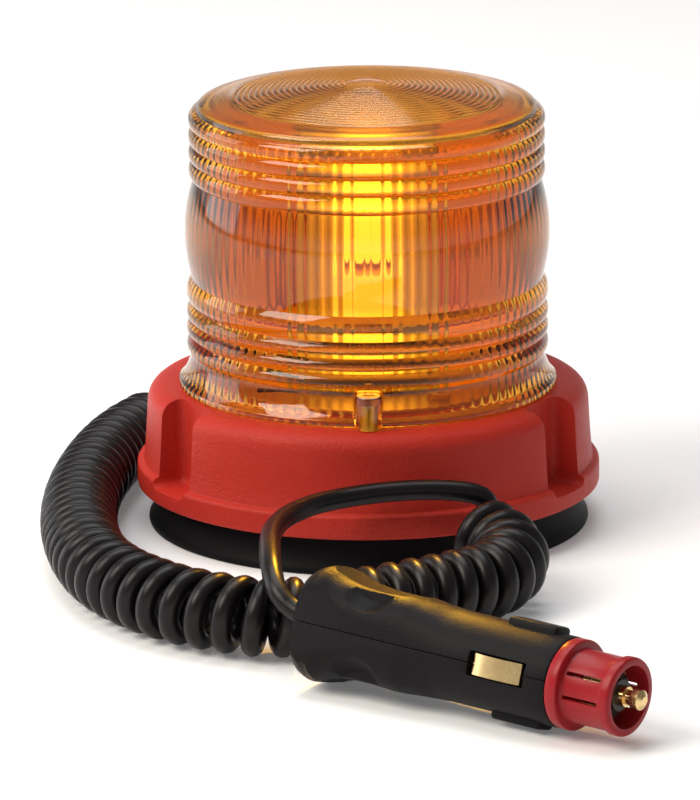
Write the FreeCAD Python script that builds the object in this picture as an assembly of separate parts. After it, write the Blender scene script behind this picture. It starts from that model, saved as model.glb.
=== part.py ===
"""Magnetic-mount rotating beacon with a spiral cord and an accessory-socket plug.

Millimetres, +Z up.  The origin is the centre of the magnet foot on the surface it
stands on, -Y is the front.  Each function builds one sub-part and the list at the
end writes every sub-part to its own STEP file.
"""

import FreeCAD, Part

import math
import os

from FreeCAD import Placement, Rotation, Vector

# ---------------------------------------------------------------- driving sizes
FIT = 0.05                # radial running or drop-in clearance
SEAT = 0.3                # gap under a part that must stay free

# magnet foot
BOOT_HEIGHT = 9.6
CUP_R = 46.0
CUP_SHEET = 1.6
BOOT_WALL = 4.6           # at the top of the boot
BOOT_FLARE = 7.3          # at the foot of the boot
BOOT_SKIN = 0.8
MAGNET_GLUE = 2.4         # between the magnet and the cup's wall
MAGNET_INNER_R = 14.0
MAGNET_LIFT = 0.8
BOLT_R = 3.0
BOLT_HEAD_R = 5.8
BOLT_HEAD_H = 3.6
NUT_H = 5.0
BOLT_SPARE = 2.0

# base housing
FLANGE_R = 56.0
FLANGE_T = 6.0
BASE_FOOT_R = 54.3
BASE_TOP_R = 53.3
BASE_SHOULDER = 4.5
BASE_HEIGHT = 24.8
BASE_WALL = 2.6
COVER_T = 2.4
COVER_R = 51.0
OPENING_R = 36.0
POCKET_WIDTH = 15.0
POCKET_BACK = 46.8        # flat back of a bolt pocket, from the axis
POCKET_FLOOR = 3.8        # above the underside of the flange
POCKET_CORNER = 2.2
POCKET_ANGLES = (-30.0, 90.0, 210.0)
LUG_ANGLES = (-90.0, 30.0, 150.0)
SCREW_R = 1.5
SCREW_HEAD_R = 2.8
SCREW_HEAD_H = 1.8
BOSS_R = 4.2
LUG_OUTSET = 0.8          # lens screws, out from the rim of the lens foot
GASKET_DEPTH = 1.2
GASKET_INNER_R = 40.9
GASKET_OUTER_R = 43.6

# lens
FOOT_R = 45.6
FOOT_T = 1.5
NECK_R = 43.1
RIB_FLOOR_Z = 7.8         # lowest rib starts here, above the lens foot
LOWER_RIBS = (4.3, 3.8, 4.1, 6.3)
UPPER_RIBS = (4.4, 4.0, 4.2, 3.8)
LOWER_VALLEY_R = 42.5
LOWER_CREST_R = 43.7
BARREL_R = 44.0
BARREL_HEIGHT = 24.3
UPPER_VALLEY_R = 41.7
UPPER_CREST_R = 42.9
CROWN_R = 40.8
CROWN_H = 2.3
CROWN_ROUND = 3.4
DOME_RISE = 4.4
LENS_TOP_T = 2.8
RING_FIRST_R = 3.4
RING_PITCH = 5.1
RING_DEPTH = 0.3
RING_COUNT = 6
FLUTE_COUNT = 90
FLUTE_R = 39.9
FLUTE_DEPTH = 0.45
LUG_H = 8.2
LUG_R = 3.1
LUG_ROOT = 6.4

# drive and lamp
PLATE_T = 1.5
PLATE_R = 38.2
PLATE_SCREW_ANGLES = (60.0, 180.0, 300.0)
PLATE_SCREW_INSET = 4.8
PLATE_SCREW_BOSS_H = 8.0
MODULE = 0.7
GEAR_TEETH = 60
PINION_TEETH = 12
GEAR_T = 4.0
GEAR_HUB_R = 8.5
BACKLASH = 0.12
MOTOR_R = 10.0
MOTOR_H = 17.0
MOTOR_NOSE_R = 3.0
MOTOR_NOSE_H = 1.0
MOTOR_SHAFT_R = 1.0
MOTOR_FLAT = 7.8
SPINDLE_R = 5.0
SPINDLE_BORE_R = 3.2
SPINDLE_COLLAR_R = 8.0
SPINDLE_COLLAR_T = 1.5
SPINDLE_NUT_H = 3.5
SPINDLE_TOP = 50.0
WASHER_T = 0.8
CLIP_T = 0.8
CLIP_GROOVE = 0.5
HOLDER_R = 6.6
HOLDER_H = 12.0
LAMP_CAP_R = 4.5
LAMP_CAP_H = 11.0
LAMP_CAP_LIFT = 2.6       # cap's lower end above the holder's lower end
BULB_R = 4.7
BULB_H = 19.0
BULB_GLASS_T = 0.7
FILAMENT_Z = 75.0
REFLECTOR_FOCUS = 8.6
REFLECTOR_HALF_WIDTH = 17.0
REFLECTOR_H = 55.0
REFLECTOR_T = 0.8
REFLECTOR_TAB = 8.0

# cord
CORD_R = 2.5
COIL_R = 9.5
COIL_Z = COIL_R + 0.15
COIL_END_RISE = (1.2, 2.8, 4.6)
GLAND_ANGLE = 105.0
GLAND_Z = 22.0
CLAMP_INSET = 13.8        # clamp, in from the foot of the base wall
STRIPPED_END = 4.5        # jacket beyond the clamp
GLAND_BORE = CORD_R + 0.1
COIL_ROUTE = (
    (-47.3, 60.8), (-57.5, 43.5), (-65.0, 18.0), (-69.5, -16.0), (-69.0, -50.0),
    (-63.0, -82.0), (-48.0, -106.0), (-29.5, -118.2), (-18.0, -120.0), (-7.0, -114.5),
    (6.9, -106.0), (18.5, -98.0), (28.5, -90.0), (33.5, -79.5), (31.5, -69.0),
    (24.0, -63.7),
)
LEAD_ROUTE = ((-18.0, 66.0, 21.4), (-25.0, 72.8, 19.6), (-35.0, 74.6, 17.6))
LEAD_ENTRY = 10.0         # last run of the lead, along the spiral's axis
TAIL_EXIT = 6.0           # first run of the tail, along the spiral's axis
TAIL_ROUTE = (
    (9.0, -58.8, 22.6), (-2.5, -59.6, 21.9), (-13.5, -66.5, 21.7),
    (-20.5, -79.0, 21.8), (-23.0, -93.5, 22.2), (-23.0, -108.0, 22.9),
    (-22.6, -121.0, 22.8), (-21.5, -130.6, 19.0),
)

# plug: its own frame has +X along the axis towards the socket, 0 at the sleeve's mouth
PLUG_MOUTH = Vector(56.8, -188.8, 11.35)
PLUG_YAW = -37.0
PLUG_TILT = 1.8
PLUG_ROLL = -16.0
SLEEVE_MOUTH_R = 9.1
SLEEVE_LIP = 2.4
SLEEVE_R = 8.4
SLEEVE_BORE_R = 7.2
SLEEVE_COLLAR_R = 10.3
SLEEVE_COLLAR_T = 3.0
SLEEVE_LENGTH = 16.1
SLOT_ANGLE = 19.0
SLOT_WIDTH = 1.0
BARREL_PLUG_R = 10.35
BARREL_END = 47.0
HANDLE_R = 11.2
TAIL_R = 13.3
TAIL_HALF_WIDTH = 10.2
PLUG_LENGTH = 87.0
PLUG_WALL = 2.7
FRONT_WALL = 2.5
RECESS_AT = 63.0
RECESS_DEPTH = 2.3
RECESS_BALL_R = 30.0
WINDOW_FROM = 21.8
WINDOW_LENGTH = 15.4
WINDOW_HEIGHT = 5.6
RIB_FROM = 20.4
RIB_LENGTH = 13.0
RIB_WIDTH = 5.0
RIB_HEIGHT = 1.3
NOSE_R = 5.9
NOSE_SHELL = 0.6
NOSE_REACH = 11.6
NOSE_FLANGE_R = 6.9
NOSE_FLANGE_T = 1.6
TIP_R = 2.3
TIP_OUT = 4.0
TIP_TRAVEL = 3.0
FUSE_R = 3.0
FUSE_LENGTH = 20.0
LEAF_T = 0.5
LEAF_WIDTH = 4.8
LEAF_PROUD = 0.6
SPRING_R = 2.8
SPRING_WIRE_R = 0.4
SPRING_LENGTH = 9.0
SPRING_TURNS = 5

# ---------------------------------------------------------------- derived places
BASE_Z = BOOT_HEIGHT
BOOT_TOP_R = CUP_R + BOOT_WALL
BOOT_FOOT_R = CUP_R + BOOT_FLARE
MAGNET_OUTER_R = CUP_R - CUP_SHEET - MAGNET_GLUE
LUG_RADIUS = FOOT_R + LUG_OUTSET
PLATE_SCREW_R = PLATE_R - PLATE_SCREW_INSET
CLAMP_R = BASE_FOOT_R - CLAMP_INSET
INNER_END_R = CLAMP_R - STRIPPED_END
BASE_TOP = BASE_Z + BASE_HEIGHT
COVER_TOP = BASE_Z + COVER_T
CUP_TOP = BOOT_HEIGHT - BOOT_SKIN
PLATE_TOP = BASE_TOP + PLATE_T
WASHER_Z = PLATE_TOP + SPINDLE_COLLAR_T
GEAR_Z = WASHER_Z + WASHER_T + FIT
GEAR_TOP = GEAR_Z + GEAR_T
GEAR_PITCH_R = MODULE * GEAR_TEETH / 2
PINION_PITCH_R = MODULE * PINION_TEETH / 2
MOTOR_X = GEAR_PITCH_R + PINION_PITCH_R
CAP_Z = SPINDLE_TOP + LAMP_CAP_LIFT
BULB_Z = CAP_Z + LAMP_CAP_H
LOWER_RIB_Z = BASE_TOP + RIB_FLOOR_Z
BARREL_Z = LOWER_RIB_Z + sum(LOWER_RIBS)
UPPER_RIB_Z = BARREL_Z + BARREL_HEIGHT
CROWN_Z = UPPER_RIB_Z + sum(UPPER_RIBS)
LENS_TOP = CROWN_Z + CROWN_H + DOME_RISE
COIL_HELIX_R = COIL_R - CORD_R
CAVITY_R = BARREL_PLUG_R - PLUG_WALL
FUSE_FRONT = SLEEVE_LENGTH + FRONT_WALL + NOSE_FLANGE_T + 1.0


# ---------------------------------------------------------------- geometry helpers
def polar(radius, degrees, z=0.0):
    """Point at a radius and angle about the Z axis."""
    angle = math.radians(degrees)
    return Vector(radius * math.cos(angle), radius * math.sin(angle), z)


def cylinder(radius, height, base=Vector(0, 0, 0), axis=Vector(0, 0, 1)):
    """Solid cylinder that stands on base."""
    return Part.makeCylinder(radius, height, base, axis)


def ring(outer, inner, height, z):
    """Flat ring about the Z axis."""
    return cylinder(outer, height, Vector(0, 0, z)).cut(
        cylinder(inner, height + 2, Vector(0, 0, z - 1)))


def centred_box(length, width, height, centre):
    """Box with its centre at a point."""
    corner = centre - Vector(length / 2, width / 2, height / 2)
    return Part.makeBox(length, width, height, corner)


def turned(shape, degrees):
    """Copy of a shape turned about the Z axis."""
    copy = shape.copy()
    copy.rotate(Vector(0, 0, 0), Vector(0, 0, 1), degrees)
    return copy


def rounded_edges(points, radii, closed):
    """Straight runs joined by tangent arcs: one radius for each corner, 0 for a sharp one."""
    count = len(points)
    corners = []
    for i, point in enumerate(points):
        radius = radii[i]
        ends = not closed and i in (0, count - 1)
        if ends or radius <= 0:
            corners.append((point, None, point))
            continue
        back = (points[i - 1] - point).normalize()
        ahead = (points[(i + 1) % count] - point).normalize()
        half = back.getAngle(ahead) / 2
        reach = radius / math.tan(half)
        middle = (back + ahead).normalize() * (radius / math.sin(half) - radius)
        corners.append((point + back * reach, point + middle, point + ahead * reach))
    edges = []
    for i in range(count if closed else count - 1):
        start, end = corners[i][2], corners[(i + 1) % count][0]
        if (end - start).Length > 1e-6:
            edges.append(Part.LineSegment(start, end).toShape())
        entry, middle, leave = corners[(i + 1) % count]
        if middle is not None:
            edges.append(Part.Arc(entry, middle, leave).toShape())
    return edges


def profile_face(points, radii=None):
    """Closed face from corner points, with a fillet radius for each corner."""
    points = [Vector(p) for p in points]
    radii = radii or [0.0] * len(points)
    return Part.Face(Part.Wire(rounded_edges(points, radii, True)))


def lathe(outline):
    """Solid of revolution about Z from (radius, z, fillet) corners."""
    points = [Vector(r, 0, z) for r, z, fillet in outline]
    face = profile_face(points, [fillet for r, z, fillet in outline])
    return face.revolve(Vector(0, 0, 0), Vector(0, 0, 1), 360)


def prism(points, z, height, radii=None):
    """Upright prism from (x, y) corners."""
    face = profile_face([Vector(x, y, z) for x, y in points], radii)
    return face.extrude(Vector(0, 0, height))


def cord_tube(name, points, radius):
    """Tube along straight runs joined by arcs as large as the runs allow."""
    points = [Vector(p) for p in points]
    radii = [0.0] * len(points)
    for i in range(1, len(points) - 1):
        before, after = points[i] - points[i - 1], points[i + 1] - points[i]
        turn = before.getAngle(after)
        shorter = min(before.Length, after.Length)
        radii[i] = 0.45 * shorter / math.tan(turn / 2)
    path = Part.Wire(rounded_edges(points, radii, False))
    start = (points[1] - points[0]).normalize()
    section = Part.Wire(Part.Circle(points[0], start, radius).toShape())
    tube = path.makePipeShell([section], True, False)
    bends = [round(r, 1) for r in radii[1:-1]]
    share = tube.Volume / (math.pi * radius ** 2 * path.Length)
    print(f"{name}: length {path.Length:.1f} mm, radii {bends}, volume share {share:.4f}")
    return tube


def hex_prism(flat_r, height, z):
    """Hexagonal prism with a half width across flats of flat_r."""
    corner = flat_r / math.cos(math.radians(30))
    points = [(corner * math.cos(math.radians(a)), corner * math.sin(math.radians(a)))
              for a in range(0, 360, 60)]
    return prism(points, z, height)


def pan_screw(radius, head_radius, head_height, length, top):
    """Screw hanging down from the top of its head, on the Z axis."""
    head = cylinder(head_radius, head_height, Vector(0, 0, top - head_height))
    shank = cylinder(radius, length, Vector(0, 0, top - head_height - length))
    drive = centred_box(head_radius * 1.1, 0.7, head_height, Vector(0, 0, top))
    return head.fuse(shank).cut(drive).removeSplitter()


def group(shapes):
    """Separate solids kept together as one sub-part."""
    return Part.makeCompound(shapes)


# ---------------------------------------------------------------- magnet foot
def magnet_boot():
    """Rubber boot that flares out to the surface and holds the steel cup."""
    body = lathe([(0, 0, 0), (BOOT_FOOT_R - 0.7, 0, 0), (BOOT_FOOT_R, 0.8, 0),
                  (BOOT_FOOT_R - 0.2, 2.4, 0), (BOOT_TOP_R + 0.9, 5.6, 0),
                  (BOOT_TOP_R, BOOT_HEIGHT, 0), (0, BOOT_HEIGHT, 0)])
    socket = cylinder(CUP_R, CUP_TOP)
    hole = cylinder(BOLT_R + FIT, BOOT_HEIGHT + 1)
    return body.cut(socket).cut(hole)


def magnet_cup():
    """Pressed steel cup that carries the flux of the ring magnet."""
    floor = MAGNET_LIFT / 2
    cup = lathe([(0, floor, 0), (CUP_R, floor, 0), (CUP_R, CUP_TOP - CUP_SHEET / 2, 0),
                 (CUP_R - CUP_SHEET / 2, CUP_TOP, 0), (0, CUP_TOP, 0)])
    inside = cylinder(CUP_R - CUP_SHEET, CUP_TOP - CUP_SHEET - floor, Vector(0, 0, floor))
    return cup.cut(inside).cut(cylinder(BOLT_R + FIT, BOOT_HEIGHT + 1))


def ring_magnet():
    """Ferrite ring magnet, glued into the cup."""
    return ring(MAGNET_OUTER_R, MAGNET_INNER_R, CUP_TOP - CUP_SHEET - MAGNET_LIFT, MAGNET_LIFT)


def magnet_bolt():
    """Hexagon bolt that ties the foot to the base."""
    seat = CUP_TOP - CUP_SHEET
    head = hex_prism(BOLT_HEAD_R, BOLT_HEAD_H, seat - BOLT_HEAD_H)
    shank = cylinder(BOLT_R, COVER_TOP + NUT_H + BOLT_SPARE - seat, Vector(0, 0, seat))
    return head.fuse(shank)


def magnet_nut():
    """Nut on top of the base cover."""
    return hex_prism(BOLT_HEAD_R, NUT_H, COVER_TOP).cut(
        cylinder(BOLT_R + FIT, NUT_H + 2, Vector(0, 0, COVER_TOP - 1)))


# ---------------------------------------------------------------- base
def pocket_cut(grow):
    """The three bolt pockets, grown by a wall thickness when the cavity is cleared."""
    width = POCKET_WIDTH + 2 * grow
    back = POCKET_BACK - grow
    floor = BASE_Z + POCKET_FLOOR - grow
    depth = FLANGE_R + 10 - back
    box = Part.makeBox(depth, width, BASE_HEIGHT + 10, Vector(back, -width / 2, floor))
    corners = [e for e in box.Edges
               if abs(e.Vertexes[0].X - back) < 1e-6 and abs(e.Vertexes[1].X - back) < 1e-6
               and abs(e.Vertexes[0].Z - e.Vertexes[1].Z) > 1]
    box = box.makeFillet(POCKET_CORNER, corners)
    return [turned(box, angle) for angle in POCKET_ANGLES]


def base_housing():
    """Moulded base: flange, drafted wall, rounded shoulder and three bolt pockets."""
    top = BASE_TOP
    outer = lathe([(0, BASE_Z, 0), (FLANGE_R, BASE_Z, 0), (FLANGE_R, BASE_Z + FLANGE_T - 0.8, 0),
                   (FLANGE_R - 0.8, BASE_Z + FLANGE_T, 0), (BASE_FOOT_R, BASE_Z + FLANGE_T, 0),
                   (BASE_TOP_R, top - BASE_SHOULDER, 0),
                   (BASE_TOP_R - BASE_SHOULDER * 0.3, top - BASE_SHOULDER * 0.3, 0),
                   (BASE_TOP_R - BASE_SHOULDER, top, 0), (0, top, 0)])
    for cut in pocket_cut(0.0):
        outer = outer.cut(cut)
    inner_r = BASE_TOP_R - BASE_WALL
    cavity = lathe([(0, BASE_Z - 1, 0), (inner_r, BASE_Z - 1, 0),
                    (inner_r, top - BASE_WALL - BASE_SHOULDER / 2, 0),
                    (inner_r - BASE_SHOULDER / 2, top - BASE_WALL, 0), (0, top - BASE_WALL, 0)])
    for cut in pocket_cut(BASE_WALL):
        cavity = cavity.cut(cut)
    for angle in LUG_ANGLES:
        cavity = cavity.cut(cylinder(BOSS_R, BASE_HEIGHT, polar(LUG_RADIUS, angle, COVER_TOP)))
    opening = cylinder(OPENING_R, BASE_HEIGHT, Vector(0, 0, top - BASE_WALL - 1))
    for angle in PLATE_SCREW_ANGLES:
        boss = cylinder(BOSS_R, PLATE_SCREW_BOSS_H,
                        polar(PLATE_SCREW_R, angle, top - PLATE_SCREW_BOSS_H))
        opening = opening.cut(boss)
        cavity = cavity.cut(boss)
    body = outer.cut(cavity).cut(opening)
    body = body.cut(ring(COVER_R + 0.2, 1.0, COVER_T + 1, BASE_Z - 1))
    body = body.cut(ring(GASKET_OUTER_R, GASKET_INNER_R, GASKET_DEPTH + 1, top - GASKET_DEPTH))
    for angle in LUG_ANGLES:
        body = body.cut(cylinder(SCREW_R + FIT, BASE_HEIGHT + 2,
                                 polar(LUG_RADIUS, angle, BASE_Z - 1)))
    for angle in PLATE_SCREW_ANGLES:
        body = body.cut(cylinder(SCREW_R + FIT, PLATE_SCREW_BOSS_H + 1,
                                 polar(PLATE_SCREW_R, angle, top - PLATE_SCREW_BOSS_H + 1)))
    gland = cylinder(GLAND_BORE + 2.0, 20, polar(BASE_TOP_R - 12, GLAND_ANGLE, GLAND_Z),
                     polar(1, GLAND_ANGLE))
    return body.cut(gland)


def base_cover():
    """Round cover let into the underside of the base."""
    cover = ring(COVER_R, BOLT_R + FIT, COVER_T, BASE_Z)
    for angle in LUG_ANGLES:
        cover = cover.cut(cylinder(SCREW_R + FIT, COVER_T + 2, polar(LUG_RADIUS, angle, BASE_Z - 1)))
        cover = cover.cut(cylinder(SCREW_HEAD_R + FIT, SCREW_HEAD_H,
                                   polar(LUG_RADIUS, angle, BASE_Z)))
    return cover


def cover_screws():
    """Three screws that hold the cover from below."""
    screw = pan_screw(SCREW_R, SCREW_HEAD_R, SCREW_HEAD_H, 7.0, 0)
    screw.rotate(Vector(0, 0, 0), Vector(1, 0, 0), 180)
    screws = []
    for angle in LUG_ANGLES:
        one = screw.copy()
        one.translate(polar(LUG_RADIUS, angle, BASE_Z))
        screws.append(one)
    return group(screws)


def lens_gasket():
    """Flat seal in the groove under the lens foot."""
    return ring(GASKET_OUTER_R, GASKET_INNER_R, GASKET_DEPTH, BASE_TOP - GASKET_DEPTH)


# ---------------------------------------------------------------- lens
def rib_edges(heights, z, valley, crest):
    """Ribs one above the other: sloped flanks and a narrow crest, in the XZ plane."""
    edges = []
    for height in heights:
        corners = [(valley, z), (crest, z + height * 0.4), (crest, z + height * 0.65),
                   (valley, z + height)]
        edges += [line(corners[i], corners[i + 1]) for i in range(3)]
        z += height
    return edges


def line(a, b):
    """Straight edge in the XZ plane between two (radius, z) points."""
    return Part.LineSegment(Vector(a[0], 0, a[1]), Vector(b[0], 0, b[1])).toShape()


def arc_chords(start, middle, end, count):
    """Straight edges along the arc through three (radius, z) points."""
    arc = Part.Arc(*[Vector(r, 0, z) for r, z in (start, middle, end)])
    points = [(p.x, p.z) for p in arc.discretize(Number=count + 1)]
    return [line(points[i], points[i + 1]) for i in range(count)]


def dome_z(radius, edge_r, edge_z, rise):
    """Height of a shallow spherical dome at a radius."""
    ball = (edge_r ** 2 + rise ** 2) / (2 * rise)
    return edge_z + rise - ball + math.sqrt(ball ** 2 - radius ** 2)


def lens_blank():
    """Outside of the lens: foot, neck, ribs, barrel, ribs, rounded crown and ringed dome."""
    foot_z = BASE_TOP + FOOT_T
    edge_r, edge_z = CROWN_R - CROWN_ROUND, CROWN_Z + CROWN_H
    edges = [line((0, BASE_TOP), (FOOT_R, BASE_TOP)), line((FOOT_R, BASE_TOP), (FOOT_R, foot_z)),
             line((FOOT_R, foot_z), (FOOT_R - 0.8, foot_z + 0.5))]
    edges += arc_chords((FOOT_R - 0.8, foot_z + 0.5),
                        (NECK_R + 0.35, (foot_z + LOWER_RIB_Z) / 2),
                        (LOWER_VALLEY_R, LOWER_RIB_Z), 2)
    edges += rib_edges(LOWER_RIBS, LOWER_RIB_Z, LOWER_VALLEY_R, LOWER_CREST_R)
    edges += arc_chords((LOWER_VALLEY_R, BARREL_Z), (BARREL_R, BARREL_Z + BARREL_HEIGHT * 0.5),
                        (UPPER_VALLEY_R, UPPER_RIB_Z), 5)
    edges += rib_edges(UPPER_RIBS, UPPER_RIB_Z, UPPER_VALLEY_R, UPPER_CREST_R)
    edges.append(line((UPPER_VALLEY_R, CROWN_Z), (CROWN_R, CROWN_Z + 0.3)))
    round_z = edge_z - CROWN_ROUND * 0.72
    edges.append(line((CROWN_R, CROWN_Z + 0.3), (CROWN_R, round_z)))
    corner = (CROWN_R - CROWN_ROUND * 0.26, edge_z - CROWN_ROUND * 0.2)
    edges += [line((CROWN_R, round_z), corner), line(corner, (edge_r, edge_z))]
    ring_last_r = RING_FIRST_R + RING_PITCH * RING_COUNT
    previous = (ring_last_r, dome_z(ring_last_r, edge_r, edge_z, DOME_RISE))
    middle = (edge_r + ring_last_r) / 2
    crest = (middle, dome_z(middle, edge_r, edge_z, DOME_RISE))
    edges += [line((edge_r, edge_z), crest), line(crest, previous)]
    for i in range(RING_COUNT, 0, -1):
        inner_r = RING_FIRST_R + RING_PITCH * (i - 1)
        groove = (inner_r + RING_PITCH * 0.75,
                  dome_z(inner_r + RING_PITCH * 0.75, edge_r, edge_z, DOME_RISE) - RING_DEPTH)
        inner = (inner_r, dome_z(inner_r, edge_r, edge_z, DOME_RISE))
        edges += [line(previous, groove), line(groove, inner)]
        previous = inner
    edges += [line(previous, (0, LENS_TOP)), line((0, LENS_TOP), (0, BASE_TOP))]
    face = Part.Face(Part.Wire(Part.sortEdges(edges)[0]))
    return face.revolve(Vector(0, 0, 0), Vector(0, 0, 1), 360)


def lens_core():
    """Inside of the lens: upright flutes all round under a shallow dome."""
    step = 360.0 / FLUTE_COUNT
    ridge_r = FLUTE_R - FLUTE_DEPTH
    edges = []
    for i in range(FLUTE_COUNT):
        a = i * step
        edges.append(Part.Arc(polar(ridge_r, a, BASE_TOP), polar(FLUTE_R, a + step / 2, BASE_TOP),
                              polar(ridge_r, a + step, BASE_TOP)).toShape())
    edge_z = CROWN_Z + CROWN_H - LENS_TOP_T
    flutes = Part.Face(Part.Wire(edges)).extrude(Vector(0, 0, edge_z - BASE_TOP))
    rim = ridge_r - SEAT
    ceiling = [line((0, edge_z - 1), (rim, edge_z - 1)), line((rim, edge_z - 1), (rim, edge_z)),
               line((0, edge_z + DOME_RISE), (0, edge_z - 1))]
    ceiling += arc_chords((rim, edge_z), (rim / 2, dome_z(rim / 2, rim, edge_z, DOME_RISE)),
                          (0, edge_z + DOME_RISE), 3)
    dome = Part.Face(Part.Wire(Part.sortEdges(ceiling)[0])).revolve(Vector(0, 0, 0), Vector(0, 0, 1), 360)
    return flutes.fuse(dome)


def lens_lug():
    """Screw lug with hollowed flanks at the front of the lens foot."""
    root_x, tip_x = LOWER_VALLEY_R - 1.5, LUG_RADIUS
    top = BASE_TOP + LUG_H
    edges = [
        Part.LineSegment(Vector(root_x, -LUG_ROOT, top), Vector(root_x, LUG_ROOT, top)).toShape(),
        Part.Arc(Vector(root_x, LUG_ROOT, top), Vector(tip_x - 2.2, LUG_R + 0.6, top),
                 Vector(tip_x, LUG_R, top)).toShape(),
        Part.Arc(Vector(tip_x, LUG_R, top), Vector(tip_x + LUG_R, 0, top),
                 Vector(tip_x, -LUG_R, top)).toShape(),
        Part.Arc(Vector(tip_x, -LUG_R, top), Vector(tip_x - 2.2, -LUG_R - 0.6, top),
                 Vector(root_x, -LUG_ROOT, top)).toShape(),
    ]
    return Part.Face(Part.Wire(edges)).extrude(Vector(0, 0, -LUG_H))


def lens_dome():
    """Amber lens with ribs, flutes, a ringed top and three screw lugs."""
    lens = lens_blank()
    lug = lens_lug()
    for angle in LUG_ANGLES:
        lens = lens.fuse(turned(lug, angle))
    lens = lens.cut(lens_core())
    top = BASE_TOP + LUG_H
    for angle in LUG_ANGLES:
        lens = lens.cut(cylinder(SCREW_R + FIT, LUG_H + 2, polar(LUG_RADIUS, angle, BASE_TOP - 1)))
        lens = lens.cut(cylinder(SCREW_HEAD_R + FIT, SCREW_HEAD_H + 4,
                                 polar(LUG_RADIUS, angle, top - SCREW_HEAD_H)))
    return lens


def lens_screws():
    """Three screws through the lens lugs into the base."""
    screw = pan_screw(SCREW_R, SCREW_HEAD_R, SCREW_HEAD_H, 14.0, 0)
    screws = []
    for angle in LUG_ANGLES:
        one = screw.copy()
        one.translate(polar(LUG_RADIUS, angle, BASE_TOP + LUG_H))
        screws.append(one)
    return group(screws)


# ---------------------------------------------------------------- drive
def gear_points(teeth, thickness_shift, outer_add, phase):
    """Corner points of a spur gear with straight-flanked teeth, one tooth centred at phase."""
    pitch_r = MODULE * teeth / 2
    half = math.pi / teeth / 2 - thickness_shift / pitch_r / 2
    outer, root = pitch_r + outer_add, pitch_r - MODULE * 1.25
    slope = math.tan(math.radians(20))
    points = []
    for i in range(teeth):
        mid = math.radians(phase) + 2 * math.pi * i / teeth
        root_half = half + slope * (pitch_r - root) / root
        tip_half = half - slope * (outer - pitch_r) / outer
        for radius, angle in ((root, mid - root_half), (outer, mid - tip_half),
                              (outer, mid + tip_half), (root, mid + root_half)):
            points.append((radius * math.cos(angle), radius * math.sin(angle)))
    return points


def turntable_gear():
    """Spur gear that turns on the spindle and carries the reflector."""
    gear = prism(gear_points(GEAR_TEETH, BACKLASH, MODULE * 0.9, 0), GEAR_Z, GEAR_T)
    recess = ring(GEAR_PITCH_R - 2.6, GEAR_HUB_R, 1.2, GEAR_Z)
    gear = gear.cut(recess).cut(cylinder(SPINDLE_R + FIT, GEAR_T + 2, Vector(0, 0, GEAR_Z - 1)))
    for x in (-REFLECTOR_TAB * 0.6, REFLECTOR_TAB * 0.6):
        gear = gear.cut(cylinder(1.0 + FIT, GEAR_T + 2,
                                 Vector(x, REFLECTOR_FOCUS + REFLECTOR_TAB * 0.55, GEAR_Z - 1)))
    return gear


def reflector():
    """Bright sheet bent to a parabola about the lamp, with a foot tab."""
    focus, half = REFLECTOR_FOCUS, REFLECTOR_HALF_WIDTH
    stations = [half * i / 4 for i in range(-4, 5)]

    def bowl(offset):
        points = []
        for x in stations:
            slope = -x / (2 * focus)
            across = math.sqrt(1 + slope ** 2)
            points.append(Vector(x - slope / across * offset,
                                 focus - x ** 2 / (4 * focus) + offset / across, GEAR_TOP))
        return [Part.Arc(*points[i:i + 3]).toShape() for i in range(0, 7, 2)], points
    inside, inner_points = bowl(0.0)
    outside, outer_points = bowl(REFLECTOR_T)
    caps = [Part.LineSegment(inner_points[i], outer_points[i]).toShape() for i in (0, -1)]
    sheet = Part.Face(Part.Wire(Part.sortEdges(inside + outside + caps)[0]))
    trough = sheet.extrude(Vector(0, 0, REFLECTOR_H))
    back = focus + REFLECTOR_T / 2
    tab = prism([(-REFLECTOR_TAB, back), (REFLECTOR_TAB, back),
                 (REFLECTOR_TAB, back + REFLECTOR_TAB), (-REFLECTOR_TAB, back + REFLECTOR_TAB)],
                GEAR_TOP, REFLECTOR_T, [0, 0, 2, 2])
    tab = tab.cut(lathe([(0, GEAR_TOP - 1, 0), (focus, GEAR_TOP - 1, 0), (focus, GEAR_TOP + 2, 0),
                         (0, GEAR_TOP + 2, 0)]))
    for x in (-REFLECTOR_TAB * 0.6, REFLECTOR_TAB * 0.6):
        tab = tab.cut(cylinder(1.0 + FIT, 4, Vector(x, focus + REFLECTOR_TAB * 0.55, GEAR_TOP - 1)))
    return trough.fuse(tab).removeSplitter()


def reflector_screws():
    """Two screws that hold the reflector's tab on the gear."""
    screws = []
    for x in (-REFLECTOR_TAB * 0.6, REFLECTOR_TAB * 0.6):
        one = pan_screw(1.0, 1.9, 1.2, REFLECTOR_T + 2.4, GEAR_TOP + REFLECTOR_T + 1.2)
        one.translate(Vector(x, REFLECTOR_FOCUS + REFLECTOR_TAB * 0.55, 0))
        screws.append(one)
    return group(screws)


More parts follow.
